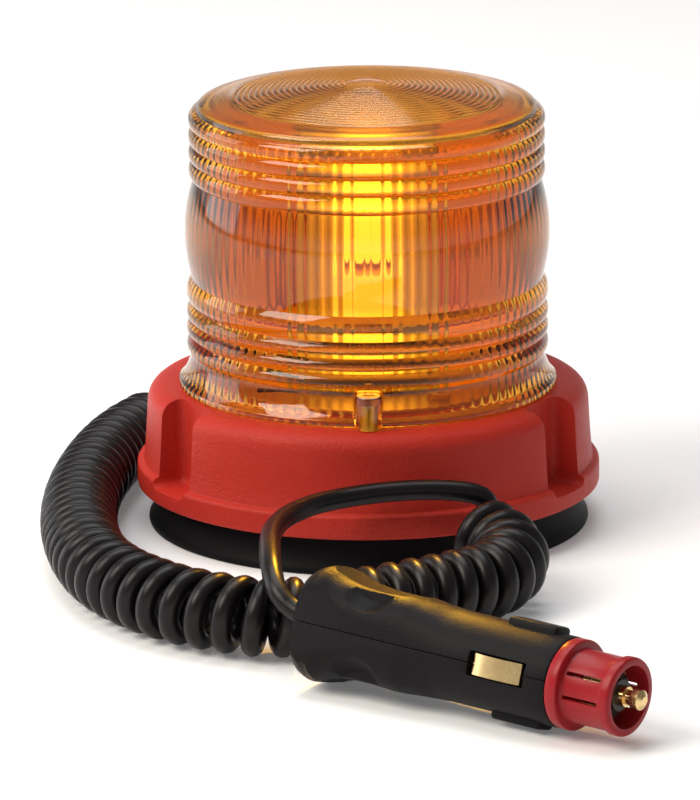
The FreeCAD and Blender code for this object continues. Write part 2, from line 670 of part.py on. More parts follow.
def chassis_plate():
    """Steel plate over the base opening that carries the drive and the lamp."""
    plate = cylinder(PLATE_R, PLATE_T, Vector(0, 0, BASE_TOP))
    plate = plate.cut(cylinder(SPINDLE_R + FIT, PLATE_T + 2, Vector(0, 0, BASE_TOP - 1)))
    plate = plate.cut(cylinder(MOTOR_NOSE_R + FIT, PLATE_T + 2, Vector(MOTOR_X, 0, BASE_TOP - 1)))
    for side in (-1, 1):
        plate = plate.cut(cylinder(0.9, PLATE_T + 2,
                                   Vector(MOTOR_X, side * MOTOR_R * 0.6, BASE_TOP - 1)))
    for angle in PLATE_SCREW_ANGLES:
        plate = plate.cut(cylinder(SCREW_R + FIT, PLATE_T + 2,
                                   polar(PLATE_SCREW_R, angle, BASE_TOP - 1)))
    slot = prism([(-27, -24), (-16, -24), (-16, -20), (-27, -20)], BASE_TOP - 1, PLATE_T + 2,
                 [1.5] * 4)
    wires = cylinder(3.5, PLATE_T + 2, Vector(-14, 12, BASE_TOP - 1))
    return plate.cut(slot).cut(wires)


def chassis_screws():
    """Three screws that hold the chassis plate on the base."""
    screw = pan_screw(SCREW_R, SCREW_HEAD_R, SCREW_HEAD_H, PLATE_T + 5.0, 0)
    screws = []
    for angle in PLATE_SCREW_ANGLES:
        one = screw.copy()
        one.translate(polar(PLATE_SCREW_R, angle, PLATE_TOP + SCREW_HEAD_H))
        screws.append(one)
    return group(screws)


def motor_case():
    """Small can motor under the plate, with flats, a nose and two terminals."""
    can = cylinder(MOTOR_R, MOTOR_H, Vector(MOTOR_X, 0, BASE_TOP - MOTOR_H))
    keep = centred_box(4 * MOTOR_R, 2 * MOTOR_FLAT, 2 * MOTOR_H, Vector(MOTOR_X, 0, BASE_TOP))
    can = can.common(keep)
    nose = cylinder(MOTOR_NOSE_R, PLATE_T + MOTOR_NOSE_H, Vector(MOTOR_X, 0, BASE_TOP))
    bore = cylinder(MOTOR_SHAFT_R + FIT, MOTOR_H + 10, Vector(MOTOR_X, 0, BASE_TOP - MOTOR_H + 2))
    case = can.fuse(nose).cut(bore)
    for side in (-1, 1):
        case = case.cut(cylinder(0.8 + FIT, 4, Vector(MOTOR_X, side * MOTOR_R * 0.6, BASE_TOP - 3)))
        tag = centred_box(0.6, 2.0, 3.4, Vector(MOTOR_X - 3, side * 4, BASE_TOP - MOTOR_H - 1.5))
        case = case.fuse(tag)
    return case


def motor_screws():
    """Two small screws through the plate into the motor."""
    screws = []
    for side in (-1, 1):
        one = pan_screw(0.8, 1.5, 1.0, PLATE_T + 2.4, PLATE_TOP + 1.0)
        one.translate(Vector(MOTOR_X, side * MOTOR_R * 0.6, 0))
        screws.append(one)
    return group(screws)


def motor_shaft():
    """Motor shaft from the can up through the pinion."""
    low = BASE_TOP - MOTOR_H + 2 + SEAT
    return cylinder(MOTOR_SHAFT_R, GEAR_TOP + 1.0 - low, Vector(MOTOR_X, 0, low))


def motor_pinion():
    """Twelve-tooth pinion in mesh with the turntable gear."""
    phase = 180.0 - 180.0 / PINION_TEETH
    points = gear_points(PINION_TEETH, BACKLASH, MODULE * 0.9, phase)
    pinion = prism(points, GEAR_Z, GEAR_T)
    pinion.translate(Vector(MOTOR_X, 0, 0))
    return pinion.cut(cylinder(MOTOR_SHAFT_R, GEAR_T + 2, Vector(MOTOR_X, 0, GEAR_Z - 1)))


def spindle():
    """Hollow post, fixed in the plate, that the gear turns on."""
    low = BASE_TOP - SPINDLE_NUT_H - 1.5
    post = cylinder(SPINDLE_R, SPINDLE_TOP - low, Vector(0, 0, low))
    post = post.fuse(cylinder(SPINDLE_COLLAR_R, SPINDLE_COLLAR_T, Vector(0, 0, PLATE_TOP)))
    groove = ring(SPINDLE_R + 1, SPINDLE_R - CLIP_GROOVE, CLIP_T + 2 * FIT, GEAR_TOP + 2 * FIT)
    return post.cut(groove).cut(cylinder(SPINDLE_BORE_R, SPINDLE_TOP, Vector(0, 0, low - 1)))


def spindle_nut():
    """Thin nut that clamps the spindle's collar on the plate."""
    z = BASE_TOP - SPINDLE_NUT_H
    return hex_prism(SPINDLE_COLLAR_R, SPINDLE_NUT_H, z).cut(
        cylinder(SPINDLE_R + FIT, SPINDLE_NUT_H + 2, Vector(0, 0, z - 1)))


def thrust_washer():
    """Plain washer between the spindle's collar and the gear."""
    return ring(SPINDLE_COLLAR_R, SPINDLE_R + FIT, WASHER_T, WASHER_Z)


def retaining_clip():
    """Open spring clip in the spindle's groove, above the gear."""
    clip = ring(SPINDLE_R + 1.8, SPINDLE_R - CLIP_GROOVE + FIT, CLIP_T, GEAR_TOP + 3 * FIT)
    return clip.cut(centred_box(10, 5, 4, Vector(0, -8, GEAR_TOP)).fuse(
        centred_box(3.5, 20, 4, Vector(0, -10, GEAR_TOP))))


def lamp_holder():
    """Bayonet lamp holder on top of the spindle."""
    body = lathe([(0, SPINDLE_TOP, 0), (HOLDER_R, SPINDLE_TOP, 0),
                  (HOLDER_R, SPINDLE_TOP + HOLDER_H, 0), (0, SPINDLE_TOP + HOLDER_H, 0)])
    body = body.fuse(cylinder(SPINDLE_BORE_R - FIT, 6, Vector(0, 0, SPINDLE_TOP - 6)))
    body = body.cut(cylinder(LAMP_CAP_R + FIT, HOLDER_H, Vector(0, 0, CAP_Z)))
    slot = centred_box(3 * HOLDER_R, 2.2, 8, Vector(0, 0, SPINDLE_TOP + HOLDER_H))
    return body.cut(slot)


def bulb_cap():
    """Brass bayonet cap of the lamp with its two pins and solder contact."""
    cap = cylinder(LAMP_CAP_R, LAMP_CAP_H, Vector(0, 0, CAP_Z))
    pins = cylinder(0.8, 2 * HOLDER_R, Vector(-HOLDER_R, 0, SPINDLE_TOP + HOLDER_H - 2.5),
                    Vector(1, 0, 0))
    return cap.fuse(pins)


def bulb_glass():
    """Tubular glass with a round end."""
    def envelope(radius, low, high):
        return [(0, low, 0), (radius, low, 0), (radius, high - radius * 0.75, 0),
                (radius * 0.72, high - radius * 0.25, 0), (radius * 0.3, high, 0), (0, high, 0)]
    outline = envelope(BULB_R, BULB_Z, BULB_Z + BULB_H)
    hollow = envelope(BULB_R - BULB_GLASS_T, BULB_Z + 1, BULB_Z + BULB_H - BULB_GLASS_T)
    lead_holes = [cylinder(0.3 + FIT, 3, Vector(side * 2, 0, BULB_Z - 1)) for side in (-1, 1)]
    return lathe(outline).cut(lathe(hollow)).cut(lead_holes[0]).cut(lead_holes[1])


def bulb_filament():
    """Filament bar on its two support wires."""
    bar = cylinder(0.55, 4.0, Vector(-2, 0, FILAMENT_Z), Vector(1, 0, 0))
    for side in (-1, 1):
        bar = bar.fuse(cylinder(0.3, FILAMENT_Z - BULB_Z, Vector(side * 2, 0, BULB_Z)))
    return bar


# ---------------------------------------------------------------- wiring in the base
def terminal_block():
    """Two-way terminal block on the cover."""
    block = centred_box(9, 16, 9, Vector(-15, 19, COVER_TOP + 4.5))
    for y in (15, 23):
        block = block.cut(cylinder(1.6, 5, Vector(-15, y, COVER_TOP + 6)))
        block = block.cut(cylinder(1.3, 30, Vector(-30, y, COVER_TOP + 4), Vector(1, 0, 0)))
    return block


def inner_end():
    """Inner end of the cord, where its jacket is stripped."""
    return polar(INNER_END_R, GLAND_ANGLE, GLAND_Z)


def thin_wire(route, radius):
    """Thin insulated wire: straight runs with mitred corners."""
    points = [Vector(p) for p in route]
    path = Part.makePolygon(points)
    section = Part.Wire(Part.Circle(points[0], points[1] - points[0], radius).toShape())
    return path.makePipeShell([section], True, False, 1)


def live_wire():
    """Live conductor from the cord to the terminal block."""
    end = inner_end()
    across = polar(1.2, GLAND_ANGLE + 90)
    inward = polar(-1, GLAND_ANGLE)
    start = end + across
    return thin_wire([start, start + inward * 4, Vector(-7.0, 25, COVER_TOP + 4),
                      Vector(-11.5, 23, COVER_TOP + 4)], 0.9)


def earth_wire():
    """Return conductor from the cord to the terminal block."""
    end = inner_end()
    across = polar(1.2, GLAND_ANGLE - 90)
    inward = polar(-1, GLAND_ANGLE)
    start = end + across
    return thin_wire([start, start + inward * 5, Vector(-4.0, 18, COVER_TOP + 4),
                      Vector(-11.5, 15, COVER_TOP + 4)], 0.9)


def motor_leads():
    """Two leads from the block round the nut to the motor's terminals."""
    z = COVER_TOP + 4
    low = BASE_TOP - MOTOR_H - 1.7
    inner = [(-18.5, 15, z), (-26, 15, z), (-17, -15, z - 0.6), (12, -11, z - 0.6),
             (MOTOR_X - 3.8, -4, low)]
    outer = [(-18.5, 23, z), (-30, 23, z), (-24, -24, z - 2.7), (13, -18, z - 2.7),
             (MOTOR_X - 3.8, 4, low)]
    return group([thin_wire(route, 0.7) for route in (inner, outer)])


def cable_gland():
    """Gland in the rear wall that the cord leaves through."""
    wall = BASE_TOP_R - BASE_WALL
    body = lathe([(GLAND_BORE, wall - 4, 0), (GLAND_BORE + 1.9, wall - 4, 0),
                  (GLAND_BORE + 1.9, BASE_FOOT_R + FIT, 0), (GLAND_BORE + 3.2, BASE_FOOT_R + FIT, 0),
                  (GLAND_BORE + 3.2, BASE_FOOT_R + 1.2, 0), (GLAND_BORE + 2.2, BASE_FOOT_R + 2.2, 0),
                  (GLAND_BORE + 1.2, BASE_FOOT_R + 5.0, 0), (GLAND_BORE, BASE_FOOT_R + 5.0, 0)])
    body.Placement = Placement(Vector(0, 0, GLAND_Z), Rotation(GLAND_ANGLE, 0, 0)).multiply(
        Placement(Vector(0, 0, 0), Rotation(Vector(0, 1, 0), 90)))
    return body


def cord_clamp():
    """Saddle that clamps the cord on the cover, inside the gland."""
    block = centred_box(6, 10, GLAND_Z + CORD_R + 2 - COVER_TOP,
                        Vector(CLAMP_R, 0, (GLAND_Z + CORD_R + 2 + COVER_TOP) / 2))
    block = block.cut(cylinder(GLAND_BORE, 20, Vector(CLAMP_R - 10, 0, GLAND_Z), Vector(1, 0, 0)))
    return turned(block, GLAND_ANGLE)


# ---------------------------------------------------------------- cord
def coil_points():
    """Centre line of the spiral's outer tube, which lies flat and lifts at its far end."""
    flat = len(COIL_ROUTE) - len(COIL_END_RISE)
    rises = [0.0] * flat + list(COIL_END_RISE)
    return [Vector(x, y, COIL_Z + rise) for (x, y), rise in zip(COIL_ROUTE, rises)]


def coil_mouth(end, neighbour):
    """Where the cord leaves the top of the spiral's end face, and the way it points there."""
    outward = (end - neighbour).normalize()
    upward = (Vector(0, 0, 1) - outward * outward.z).normalize()
    return end + upward * COIL_HELIX_R, outward


def plug_place():
    """Placement that takes the plug's own frame to where the plug lies."""
    return Placement(PLUG_MOUTH, Rotation(PLUG_YAW, PLUG_TILT, PLUG_ROLL))


def cord_lead():
    """Straight cord from the inner end through the gland to the spiral."""
    points = [inner_end(), polar(BASE_FOOT_R + 6.5, GLAND_ANGLE, GLAND_Z)]
    points += [Vector(p) for p in LEAD_ROUTE]
    mouth, outward = coil_mouth(coil_points()[0], coil_points()[1])
    points += [mouth + outward * LEAD_ENTRY, mouth]
    return cord_tube("cord_lead", points, CORD_R)


def cord_coil():
    """Outer shape of the spiral cord."""
    return cord_tube("cord_coil", coil_points(), COIL_R)


def cord_tail():
    """Straight cord from the spiral over itself and into the plug."""
    place = plug_place()
    mouth, outward = coil_mouth(coil_points()[-1], coil_points()[-2])
    points = [mouth, mouth + outward * TAIL_EXIT]
    points += [Vector(p) for p in TAIL_ROUTE]
    points.append(place.multVec(Vector(-PLUG_LENGTH - 5.0, 0, 0)))
    points.append(place.multVec(Vector(-PLUG_LENGTH + 2.5, 0, 0)))
    return cord_tube("cord_tail", points, CORD_R)


# ---------------------------------------------------------------- plug
def plug_lathe(outline):
    """Solid of revolution about the plug's axis from (distance behind the mouth, radius, fillet)."""
    face = profile_face([Vector(-s, 0, r) for s, r, fillet in outline],
                        [fillet for s, r, fillet in outline])
    return face.revolve(Vector(0, 0, 0), Vector(1, 0, 0), 360)


def tube_x(radius, start, end):
    """Cylinder on the plug's axis between two distances behind the mouth."""
    return cylinder(radius, end - start, Vector(-end, 0, 0), Vector(1, 0, 0))


def plug_body():
    """Both shells of the plug before they are parted."""
    front, rear = SLEEVE_LENGTH, PLUG_LENGTH
    body = plug_lathe([(front, 0, 0), (front, BARREL_PLUG_R - 0.5, 0),
                       (front + 0.5, BARREL_PLUG_R, 0), (BARREL_END, BARREL_PLUG_R, 0),
                       (BARREL_END + 12, HANDLE_R, 0), (rear - 13, HANDLE_R, 0),
                       (rear - 7, TAIL_R - 0.5, 0), (rear - 3.6, TAIL_R, 0),
                       (rear - 1, TAIL_R - 1.2, 0), (rear, TAIL_R - 3.2, 0), (rear, 0, 0)])
    body = body.common(centred_box(3 * rear, 2 * TAIL_HALF_WIDTH + 1.6, 4 * TAIL_R,
                                   Vector(-rear, 0, 0)))
    for side in (-1, 1):
        ball = Part.makeSphere(RECESS_BALL_R, Vector(
            -RECESS_AT, 0, side * (HANDLE_R - RECESS_DEPTH + RECESS_BALL_R)))
        body = body.cut(ball)
        top = BARREL_PLUG_R + RIB_HEIGHT
        rib = profile_face([Vector(-RIB_FROM - RIB_LENGTH, 0, 0), Vector(-RIB_FROM, 0, 0),
                            Vector(-RIB_FROM, 0, BARREL_PLUG_R), Vector(-RIB_FROM - 1.5, 0, top),
                            Vector(-RIB_FROM - RIB_LENGTH + 1.0, 0, top),
                            Vector(-RIB_FROM - RIB_LENGTH, 0, BARREL_PLUG_R - 0.5)])
        rib = rib.extrude(Vector(0, RIB_WIDTH, 0))
        rib.translate(Vector(0, -RIB_WIDTH / 2, 0))
        if side < 0:
            rib.rotate(Vector(0, 0, 0), Vector(1, 0, 0), 180)
        body = body.fuse(rib)
    body = body.cut(tube_x(CAVITY_R, front + FRONT_WALL, PLUG_LENGTH - 22))
    body = body.cut(tube_x(NOSE_R + FIT, front - 1, front + FRONT_WALL + 1))
    body = body.cut(tube_x(CORD_R + 0.1, PLUG_LENGTH - 23, PLUG_LENGTH + 1))
    window = centred_box(WINDOW_LENGTH, 4 * BARREL_PLUG_R, WINDOW_HEIGHT,
                         Vector(-WINDOW_FROM - WINDOW_LENGTH / 2, 0, 0))
    body = body.cut(window)
    return body


def plug_shell(side, body):
    """Upper (+1) or lower (-1) half of the plug."""
    half = centred_box(3 * PLUG_LENGTH, 4 * TAIL_R, 2 * TAIL_R,
                       Vector(-PLUG_LENGTH / 2, 0, side * TAIL_R))
    shell = body.common(half)
    screw_x, screw_y = -(PLUG_LENGTH - 19), 6.0
    shell = shell.cut(cylinder(1.3 + FIT, 4 * TAIL_R, Vector(screw_x, screw_y, -2 * TAIL_R + 8)
                               if side > 0 else Vector(screw_x, screw_y, -2 * TAIL_R)))
    if side > 0:
        cap = cylinder(1.6, 10, Vector(screw_x, screw_y, 6.0))
        shell = shell.fuse(cap.common(body.common(half)))
    else:
        shell = shell.cut(cylinder(2.6 + FIT, 10, Vector(screw_x, screw_y, -16.0)))
    return shell


def plug_screw():
    """Screw that holds the two shells together."""
    one = pan_screw(1.3, 2.6, 1.6, 9.5, 0)
    one.rotate(Vector(0, 0, 0), Vector(1, 0, 0), 180)
    one.translate(Vector(-(PLUG_LENGTH - 19), 6.0, -7.6))
    return one


def nose_insulator():
    """Insulating stem in the plug's nose that guides the tip contact."""
    inner = NOSE_R - NOSE_SHELL
    start = SLEEVE_LENGTH - NOSE_REACH
    stem = plug_lathe([(start - 2.2, 0, 0), (start - 2.2, 3.6, 0), (start - 0.4, 3.6, 0),
                       (start - 0.4, inner, 0), (SLEEVE_LENGTH + FRONT_WALL, inner, 0),
                       (SLEEVE_LENGTH + FRONT_WALL, NOSE_FLANGE_R, 0),
                       (SLEEVE_LENGTH + FRONT_WALL + NOSE_FLANGE_T, NOSE_FLANGE_R, 0),
                       (SLEEVE_LENGTH + FRONT_WALL + NOSE_FLANGE_T, 0, 0)])
    return stem.cut(tube_x(TIP_R + FIT, -5, 40))


def nose_contact():
    """Brass sleeve round the nose, with four slits."""
    start = SLEEVE_LENGTH - NOSE_REACH
    end = SLEEVE_LENGTH + FRONT_WALL
    sleeve = tube_x(NOSE_R, start, end).cut(tube_x(NOSE_R - NOSE_SHELL, start - 1, end + 1))
    for angle in (45, 135):
        slit = centred_box(7.0, 4 * NOSE_R, 0.7, Vector(-start - 3.4, 0, 0))
        slit.rotate(Vector(0, 0, 0), Vector(1, 0, 0), angle)
        sleeve = sleeve.cut(slit)
    return sleeve


def adapter_sleeve():
    """Red push-on sleeve with a collar, a lipped mouth and paired slots."""
    end = SLEEVE_LENGTH
    outer = plug_lathe([(0, 0, 0), (0, SLEEVE_MOUTH_R - 0.5, 0), (0.5, SLEEVE_MOUTH_R, 0),
                        (SLEEVE_LIP - 0.5, SLEEVE_MOUTH_R, 0), (SLEEVE_LIP + 0.2, SLEEVE_R, 0),
                        (end - SLEEVE_COLLAR_T, SLEEVE_R, 0),
                        (end - SLEEVE_COLLAR_T, SLEEVE_COLLAR_R - 0.5, 0),
                        (end - SLEEVE_COLLAR_T + 0.5, SLEEVE_COLLAR_R, 0),
                        (end, SLEEVE_COLLAR_R, 0), (end, 0, 0)])
    sleeve = outer.cut(tube_x(SLEEVE_BORE_R, -1, end - 6.5)).cut(
        tube_x(NOSE_R + 2 * FIT, end - 7.5, end + 1))
    slot_start, slot_end = SLEEVE_LIP + 0.8, end - SLEEVE_COLLAR_T - 0.2
    for side in (0, 180):
        for angle in (-SLOT_ANGLE, SLOT_ANGLE):
            slot = centred_box(slot_end - slot_start, 2 * SLEEVE_COLLAR_R, SLOT_WIDTH,
                               Vector(-(slot_start + slot_end) / 2, -SLEEVE_COLLAR_R, 0))
            slot.rotate(Vector(0, 0, 0), Vector(1, 0, 0), side + angle)
            sleeve = sleeve.cut(slot.cut(tube_x(NOSE_R, 0, end)))
    return sleeve


def tip_contact():
    """Sprung brass tip with a domed head and a collar."""
    start = FUSE_FRONT
    return plug_lathe([(-TIP_OUT, 0, 0), (-TIP_OUT, TIP_R * 0.45, 0), (0.9 - TIP_OUT, TIP_R, 0),
                       (-1.2, TIP_R, 0), (-1.2, TIP_R - 0.6, 0), (0.6, TIP_R - 0.6, 0), (0.6, TIP_R, 0),
                       (start, TIP_R, 0), (start, 0, 0)])


def plug_fuse():
    """Glass fuse behind the tip, with its end caps."""
    start = FUSE_FRONT
    return plug_lathe([(start, 0, 0), (start, FUSE_R, 0), (start + 5, FUSE_R, 0),
                       (start + 5, FUSE_R - 0.3, 0), (start + FUSE_LENGTH - 5, FUSE_R - 0.3, 0),
                       (start + FUSE_LENGTH - 5, FUSE_R, 0), (start + FUSE_LENGTH, FUSE_R, 0),
                       (start + FUSE_LENGTH, 0, 0)])


def spring_start():
    """Front end of the tip spring, behind the fuse."""
    return FUSE_FRONT + FUSE_LENGTH + SEAT


def plug_spring():
    """Compression spring of square wire behind the fuse."""
    start, end = spring_start(), spring_start() + SPRING_LENGTH
    mean = SPRING_R - SPRING_WIRE_R
    pitch = (SPRING_LENGTH - 2 * SPRING_WIRE_R) / SPRING_TURNS
    helix = Part.makeHelix(pitch, SPRING_LENGTH - 2 * SPRING_WIRE_R, mean)
    corners = [Vector(mean + a * SPRING_WIRE_R, 0, b * SPRING_WIRE_R)
               for a, b in ((-1, -1), (1, -1), (1, 1), (-1, 1), (-1, -1))]
    section = Part.makePolygon(corners)
    coil = Part.Wire(helix).makePipeShell([section], True, True)
    coil.Placement = Placement(Vector(-end + SPRING_WIRE_R, 0, 0), Rotation(Vector(0, 1, 0), 90))
    return coil


def rear_terminal():
    """Brass seat of the spring with the tag for the live conductor."""
    start = spring_start() + SPRING_LENGTH
    disc = tube_x(CAVITY_R - 0.2, start, start + 1.0)
    tag = centred_box(6.0, 2.5, 0.8, Vector(-start - 4.0, 0, 0))
    return disc.fuse(tag)


def side_contact(side):
    """Bowed brass leaf in the window of the plug: side -1 or +1 across the axis."""
    inside = CAVITY_R - 2 * SEAT - LEAF_T
    rear, front = WINDOW_FROM + WINDOW_LENGTH, WINDOW_FROM
    crown = BARREL_PLUG_R + LEAF_PROUD - LEAF_T

    def bow(offset):
        return [Vector(-rear - 1.6, inside + offset, 0), Vector(-rear + 0.9, inside + offset, 0),
                Vector(-rear + 1.6 - offset * 0.6, crown - 1.3 + offset, 0),
                Vector(-(rear + front) / 2, crown + offset, 0),
                Vector(-front - 1.6 + offset * 0.6, crown - 1.3 + offset, 0),
                Vector(-front - 0.9, inside + offset, 0), Vector(-front + 0.6, inside + offset, 0)]
    lower, upper = bow(0.0), bow(LEAF_T)
    edges = []
    for points in (lower, upper):
        edges += [Part.LineSegment(points[0], points[1]).toShape(),
                  Part.LineSegment(points[1], points[2]).toShape(),
                  Part.Arc(points[2], points[3], points[4]).toShape(),
                  Part.LineSegment(points[4], points[5]).toShape(),
                  Part.LineSegment(points[5], points[6]).toShape()]
    edges += [Part.LineSegment(lower[i], upper[i]).toShape() for i in (0, -1)]
    leaf = Part.Face(Part.Wire(Part.sortEdges(edges)[0])).extrude(Vector(0, 0, LEAF_WIDTH))
    leaf.translate(Vector(0, 0, -LEAF_WIDTH / 2))
    if side < 0:
        leaf.rotate(Vector(0, 0, 0), Vector(1, 0, 0), 180)
    return leaf


def plug_parts():
    """Every piece of the plug, in the plug's own frame."""
    body = plug_body()
    return {
        "plug_shell_upper": plug_shell(1, body),
        "plug_shell_lower": plug_shell(-1, body),
        "plug_screw": plug_screw(),
        "nose_insulator": nose_insulator(),
        "nose_contact": nose_contact(),
        "adapter_sleeve": adapter_sleeve(),
        "tip_contact": tip_contact(),
        "plug_fuse": plug_fuse(),
        "plug_spring": plug_spring(),
        "rear_terminal": rear_terminal(),
        "side_contact_front": side_contact(-1),
        "side_contact_back": side_contact(1),
    }


# ---------------------------------------------------------------- output
SUB_PARTS = (
    magnet_boot, magnet_cup, ring_magnet, magnet_bolt, magnet_nut,
    base_housing, base_cover, cover_screws, lens_gasket, lens_dome, lens_screws,
    chassis_plate, chassis_screws, motor_case, motor_screws, motor_shaft, motor_pinion,
    spindle, spindle_nut, thrust_washer, retaining_clip, turntable_gear,
    reflector, reflector_screws, lamp_holder, bulb_cap, bulb_glass, bulb_filament,
    terminal_block, live_wire, earth_wire, motor_leads, cable_gland, cord_clamp,
    cord_lead, cord_coil, cord_tail,
)


def main():
    """Build every sub-part and write it to parts/."""
    os.makedirs("parts", exist_ok=True)
    for build in SUB_PARTS:
        build().exportStep(f"parts/{build.__name__}.step")
    place = plug_place()
    for name, shape in plug_parts().items():
        shape.Placement = place.multiply(shape.Placement)
        shape.exportStep(f"parts/{name}.step")


main()
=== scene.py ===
"""Dressed model of a magnetic rotating beacon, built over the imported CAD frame.

Sizes in the classes are in millimetres and are turned into metres by MM.
"""

import logging
import math
from dataclasses import dataclass, field
from enum import Enum
from typing import Any, Callable, Iterable, Sequence

import bmesh
import bpy
from mathutils import Euler, Matrix, Vector


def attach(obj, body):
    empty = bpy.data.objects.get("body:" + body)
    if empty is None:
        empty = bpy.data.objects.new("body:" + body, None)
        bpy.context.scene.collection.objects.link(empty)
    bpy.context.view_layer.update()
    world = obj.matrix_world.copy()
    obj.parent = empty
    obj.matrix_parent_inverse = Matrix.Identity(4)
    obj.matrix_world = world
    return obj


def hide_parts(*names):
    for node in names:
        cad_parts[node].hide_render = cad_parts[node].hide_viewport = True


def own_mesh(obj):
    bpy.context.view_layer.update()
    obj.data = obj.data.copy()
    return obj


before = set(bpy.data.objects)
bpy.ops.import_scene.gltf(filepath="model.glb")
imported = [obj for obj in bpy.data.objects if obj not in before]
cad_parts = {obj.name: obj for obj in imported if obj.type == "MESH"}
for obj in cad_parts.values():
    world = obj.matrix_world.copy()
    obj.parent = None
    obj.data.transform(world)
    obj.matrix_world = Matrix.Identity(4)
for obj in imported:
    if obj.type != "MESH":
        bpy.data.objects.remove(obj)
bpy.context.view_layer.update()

MM = 0.001
SUFFIX = "_finish"
LOG = logging.getLogger("beacon")

Outline = Sequence[tuple[float, float]]
Colour = tuple[float, float, float]
Point = tuple[float, float, float]


class Body(Enum):
    """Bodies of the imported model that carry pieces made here."""

    BEACON = "beacon"
    ADAPTER = "adapter"


# ------------------------------------------------------------------ shader boards
class Wire:
    """One shader output, with arithmetic that adds Math nodes."""

    def __init__(self, board: "Board", socket: bpy.types.NodeSocket) -> None:
        """Wrap an output socket of a board."""
        self.board, self.socket = board, socket

    def __add__(self, other: Any) -> "Wire":
        """Sum."""
        return self.board.math("ADD", self, other)

    def __radd__(self, other: Any) -> "Wire":
        """Sum with the wire on the right."""
        return self.board.math("ADD", other, self)

    def __sub__(self, other: Any) -> "Wire":
        """Difference."""
        return self.board.math("SUBTRACT", self, other)

    def __rsub__(self, other: Any) -> "Wire":
        """Difference with the wire on the right."""
        return self.board.math("SUBTRACT", other, self)

    def __mul__(self, other: Any) -> "Wire":
        """Product."""
        return self.board.math("MULTIPLY", self, other)

    def __rmul__(self, other: Any) -> "Wire":
        """Product with the wire on the right."""
        return self.board.math("MULTIPLY", other, self)


class Board:
    """Node tree of one material or world."""

    def __init__(self, holder: bpy.types.ID) -> None:
        """Empty a node tree.

        Args:
            holder: Material or world that the board draws.
        """
        holder.use_nodes = True
        self.holder, self.tree = holder, holder.node_tree
        self.tree.nodes.clear()

    @classmethod
    def named(cls, name: str) -> "Board":
        """Return the board of a new material."""
        return cls(bpy.data.materials.new(name + SUFFIX))

    def node(self, kind: str, settings: dict[str, Any] | None = None,
             sockets: dict[Any, Any] | None = None, output: Any = 0) -> Wire:
        """Add a node, set it up and connect it.

        Args:
            kind: Blender's type name of the node.
            settings: Attributes of the node; "stops" fills a colour ramp.
            sockets: Values or wires by input name or index.
            output: Name or index of the output that is returned.

        Returns:
            Wire of the chosen output.
        """
        node = self.tree.nodes.new(kind)
        for key, value in (settings or {}).items():
            if key == "stops":
                ramp = node.color_ramp.elements
                ramp[0].color, ramp[1].color = (*value[0][1], 1.0), (*value[-1][1], 1.0)
                for place, colour in value[1:-1]:
                    ramp.new(place).color = (*colour, 1.0)
            else:
                setattr(node, key, value)
        for key, value in (sockets or {}).items():
            if isinstance(value, Wire):
                self.tree.links.new(value.socket, node.inputs[key])
            else:
                node.inputs[key].default_value = value
        return Wire(self, node.outputs[output] if node.outputs else None)

    def math(self, operation: str, *values: Any) -> Wire:
        """Return the wire of a Math node."""
        return self.node("ShaderNodeMath", {"operation": operation}, dict(enumerate(values)))

    def along(self, axis: int, source: str = "Object") -> Wire:
        """Return one coordinate, 0 to 2 for X to Z."""
        return self.node("ShaderNodeSeparateXYZ", {}, {
            0: self.node("ShaderNodeTexCoord", output=source)}, output=axis)

    def place(self, stretch: Point) -> Wire:
        """Return object coordinates, stretched along each axis."""
        coordinates = self.node("ShaderNodeTexCoord", output="Object")
        return self.node("ShaderNodeMapping", {}, {"Vector": coordinates, "Scale": stretch})

    def noise(self, size: float, detail: float = 3.0, roughness: float = 0.55,
              stretch: Point = (1.0, 1.0, 1.0)) -> Wire:
        """Noise whose features are about size millimetres wide.

        Args:
            size: Feature size in millimetres.
            detail: Octaves of the noise.
            roughness: How strong the finer octaves are.
            stretch: Scale of the coordinates along each axis.

        Returns:
            Wire of the noise value.
        """
        return self.node("ShaderNodeTexNoise", {}, {
            "Vector": self.place(stretch), "Scale": 1.0 / (size * MM), "Detail": detail,
            "Roughness": roughness})

    def blend(self, factor: Any, first: Sequence[float], second: Sequence[float]) -> Wire:
        """Return the colour between a first, at factor 0, and a second, at factor 1."""
        return self.node("ShaderNodeMix", {"data_type": "RGBA"}, {
            0: factor, 6: (*first, 1.0), 7: (*second, 1.0)}, output=2)

    def bump(self, height: Any, strength: float, distance: float) -> Wire:
        """Return the normal of a surface bumped by height, over distance millimetres."""
        return self.node("ShaderNodeBump", {}, {
            "Height": height, "Strength": strength, "Distance": distance * MM})

    def surface(self, **sockets: Any) -> bpy.types.Material:
        """Finish the material with a Principled BSDF.

        Args:
            sockets: Inputs by name, with _ for a space.

        Returns:
            The finished material.
        """
        values = {key.replace("_", " "): value for key, value in sockets.items()}
        shader = self.node("ShaderNodeBsdfPrincipled", {}, values)
        self.node("ShaderNodeOutputMaterial", {}, {"Surface": shader})
        return self.holder


# ------------------------------------------------------------------ finishes
@dataclass(frozen=True)
class Moulding:
    """Moulded plastic or rubber with a fine grain."""

    name: str
    colour: Colour
    shade: Colour
    roughness: float
    spread: float
    grain: float
    depth: float
    gloss: float = 0.25

    def make(self) -> bpy.types.Material:
        """Build the material.

        Returns:
            The finished material.
        """
        board = Board.named(self.name)
        cloud = board.noise(18.0, 2.0)
        grain = board.noise(self.grain, 4.0, 0.6)
        return board.surface(
            Base_Color=board.blend(cloud, self.shade, self.colour),
            Roughness=self.roughness + (grain - 0.5) * self.spread,
            Specular_IOR_Level=self.gloss,
            Normal=board.bump(grain, 0.55, self.depth))


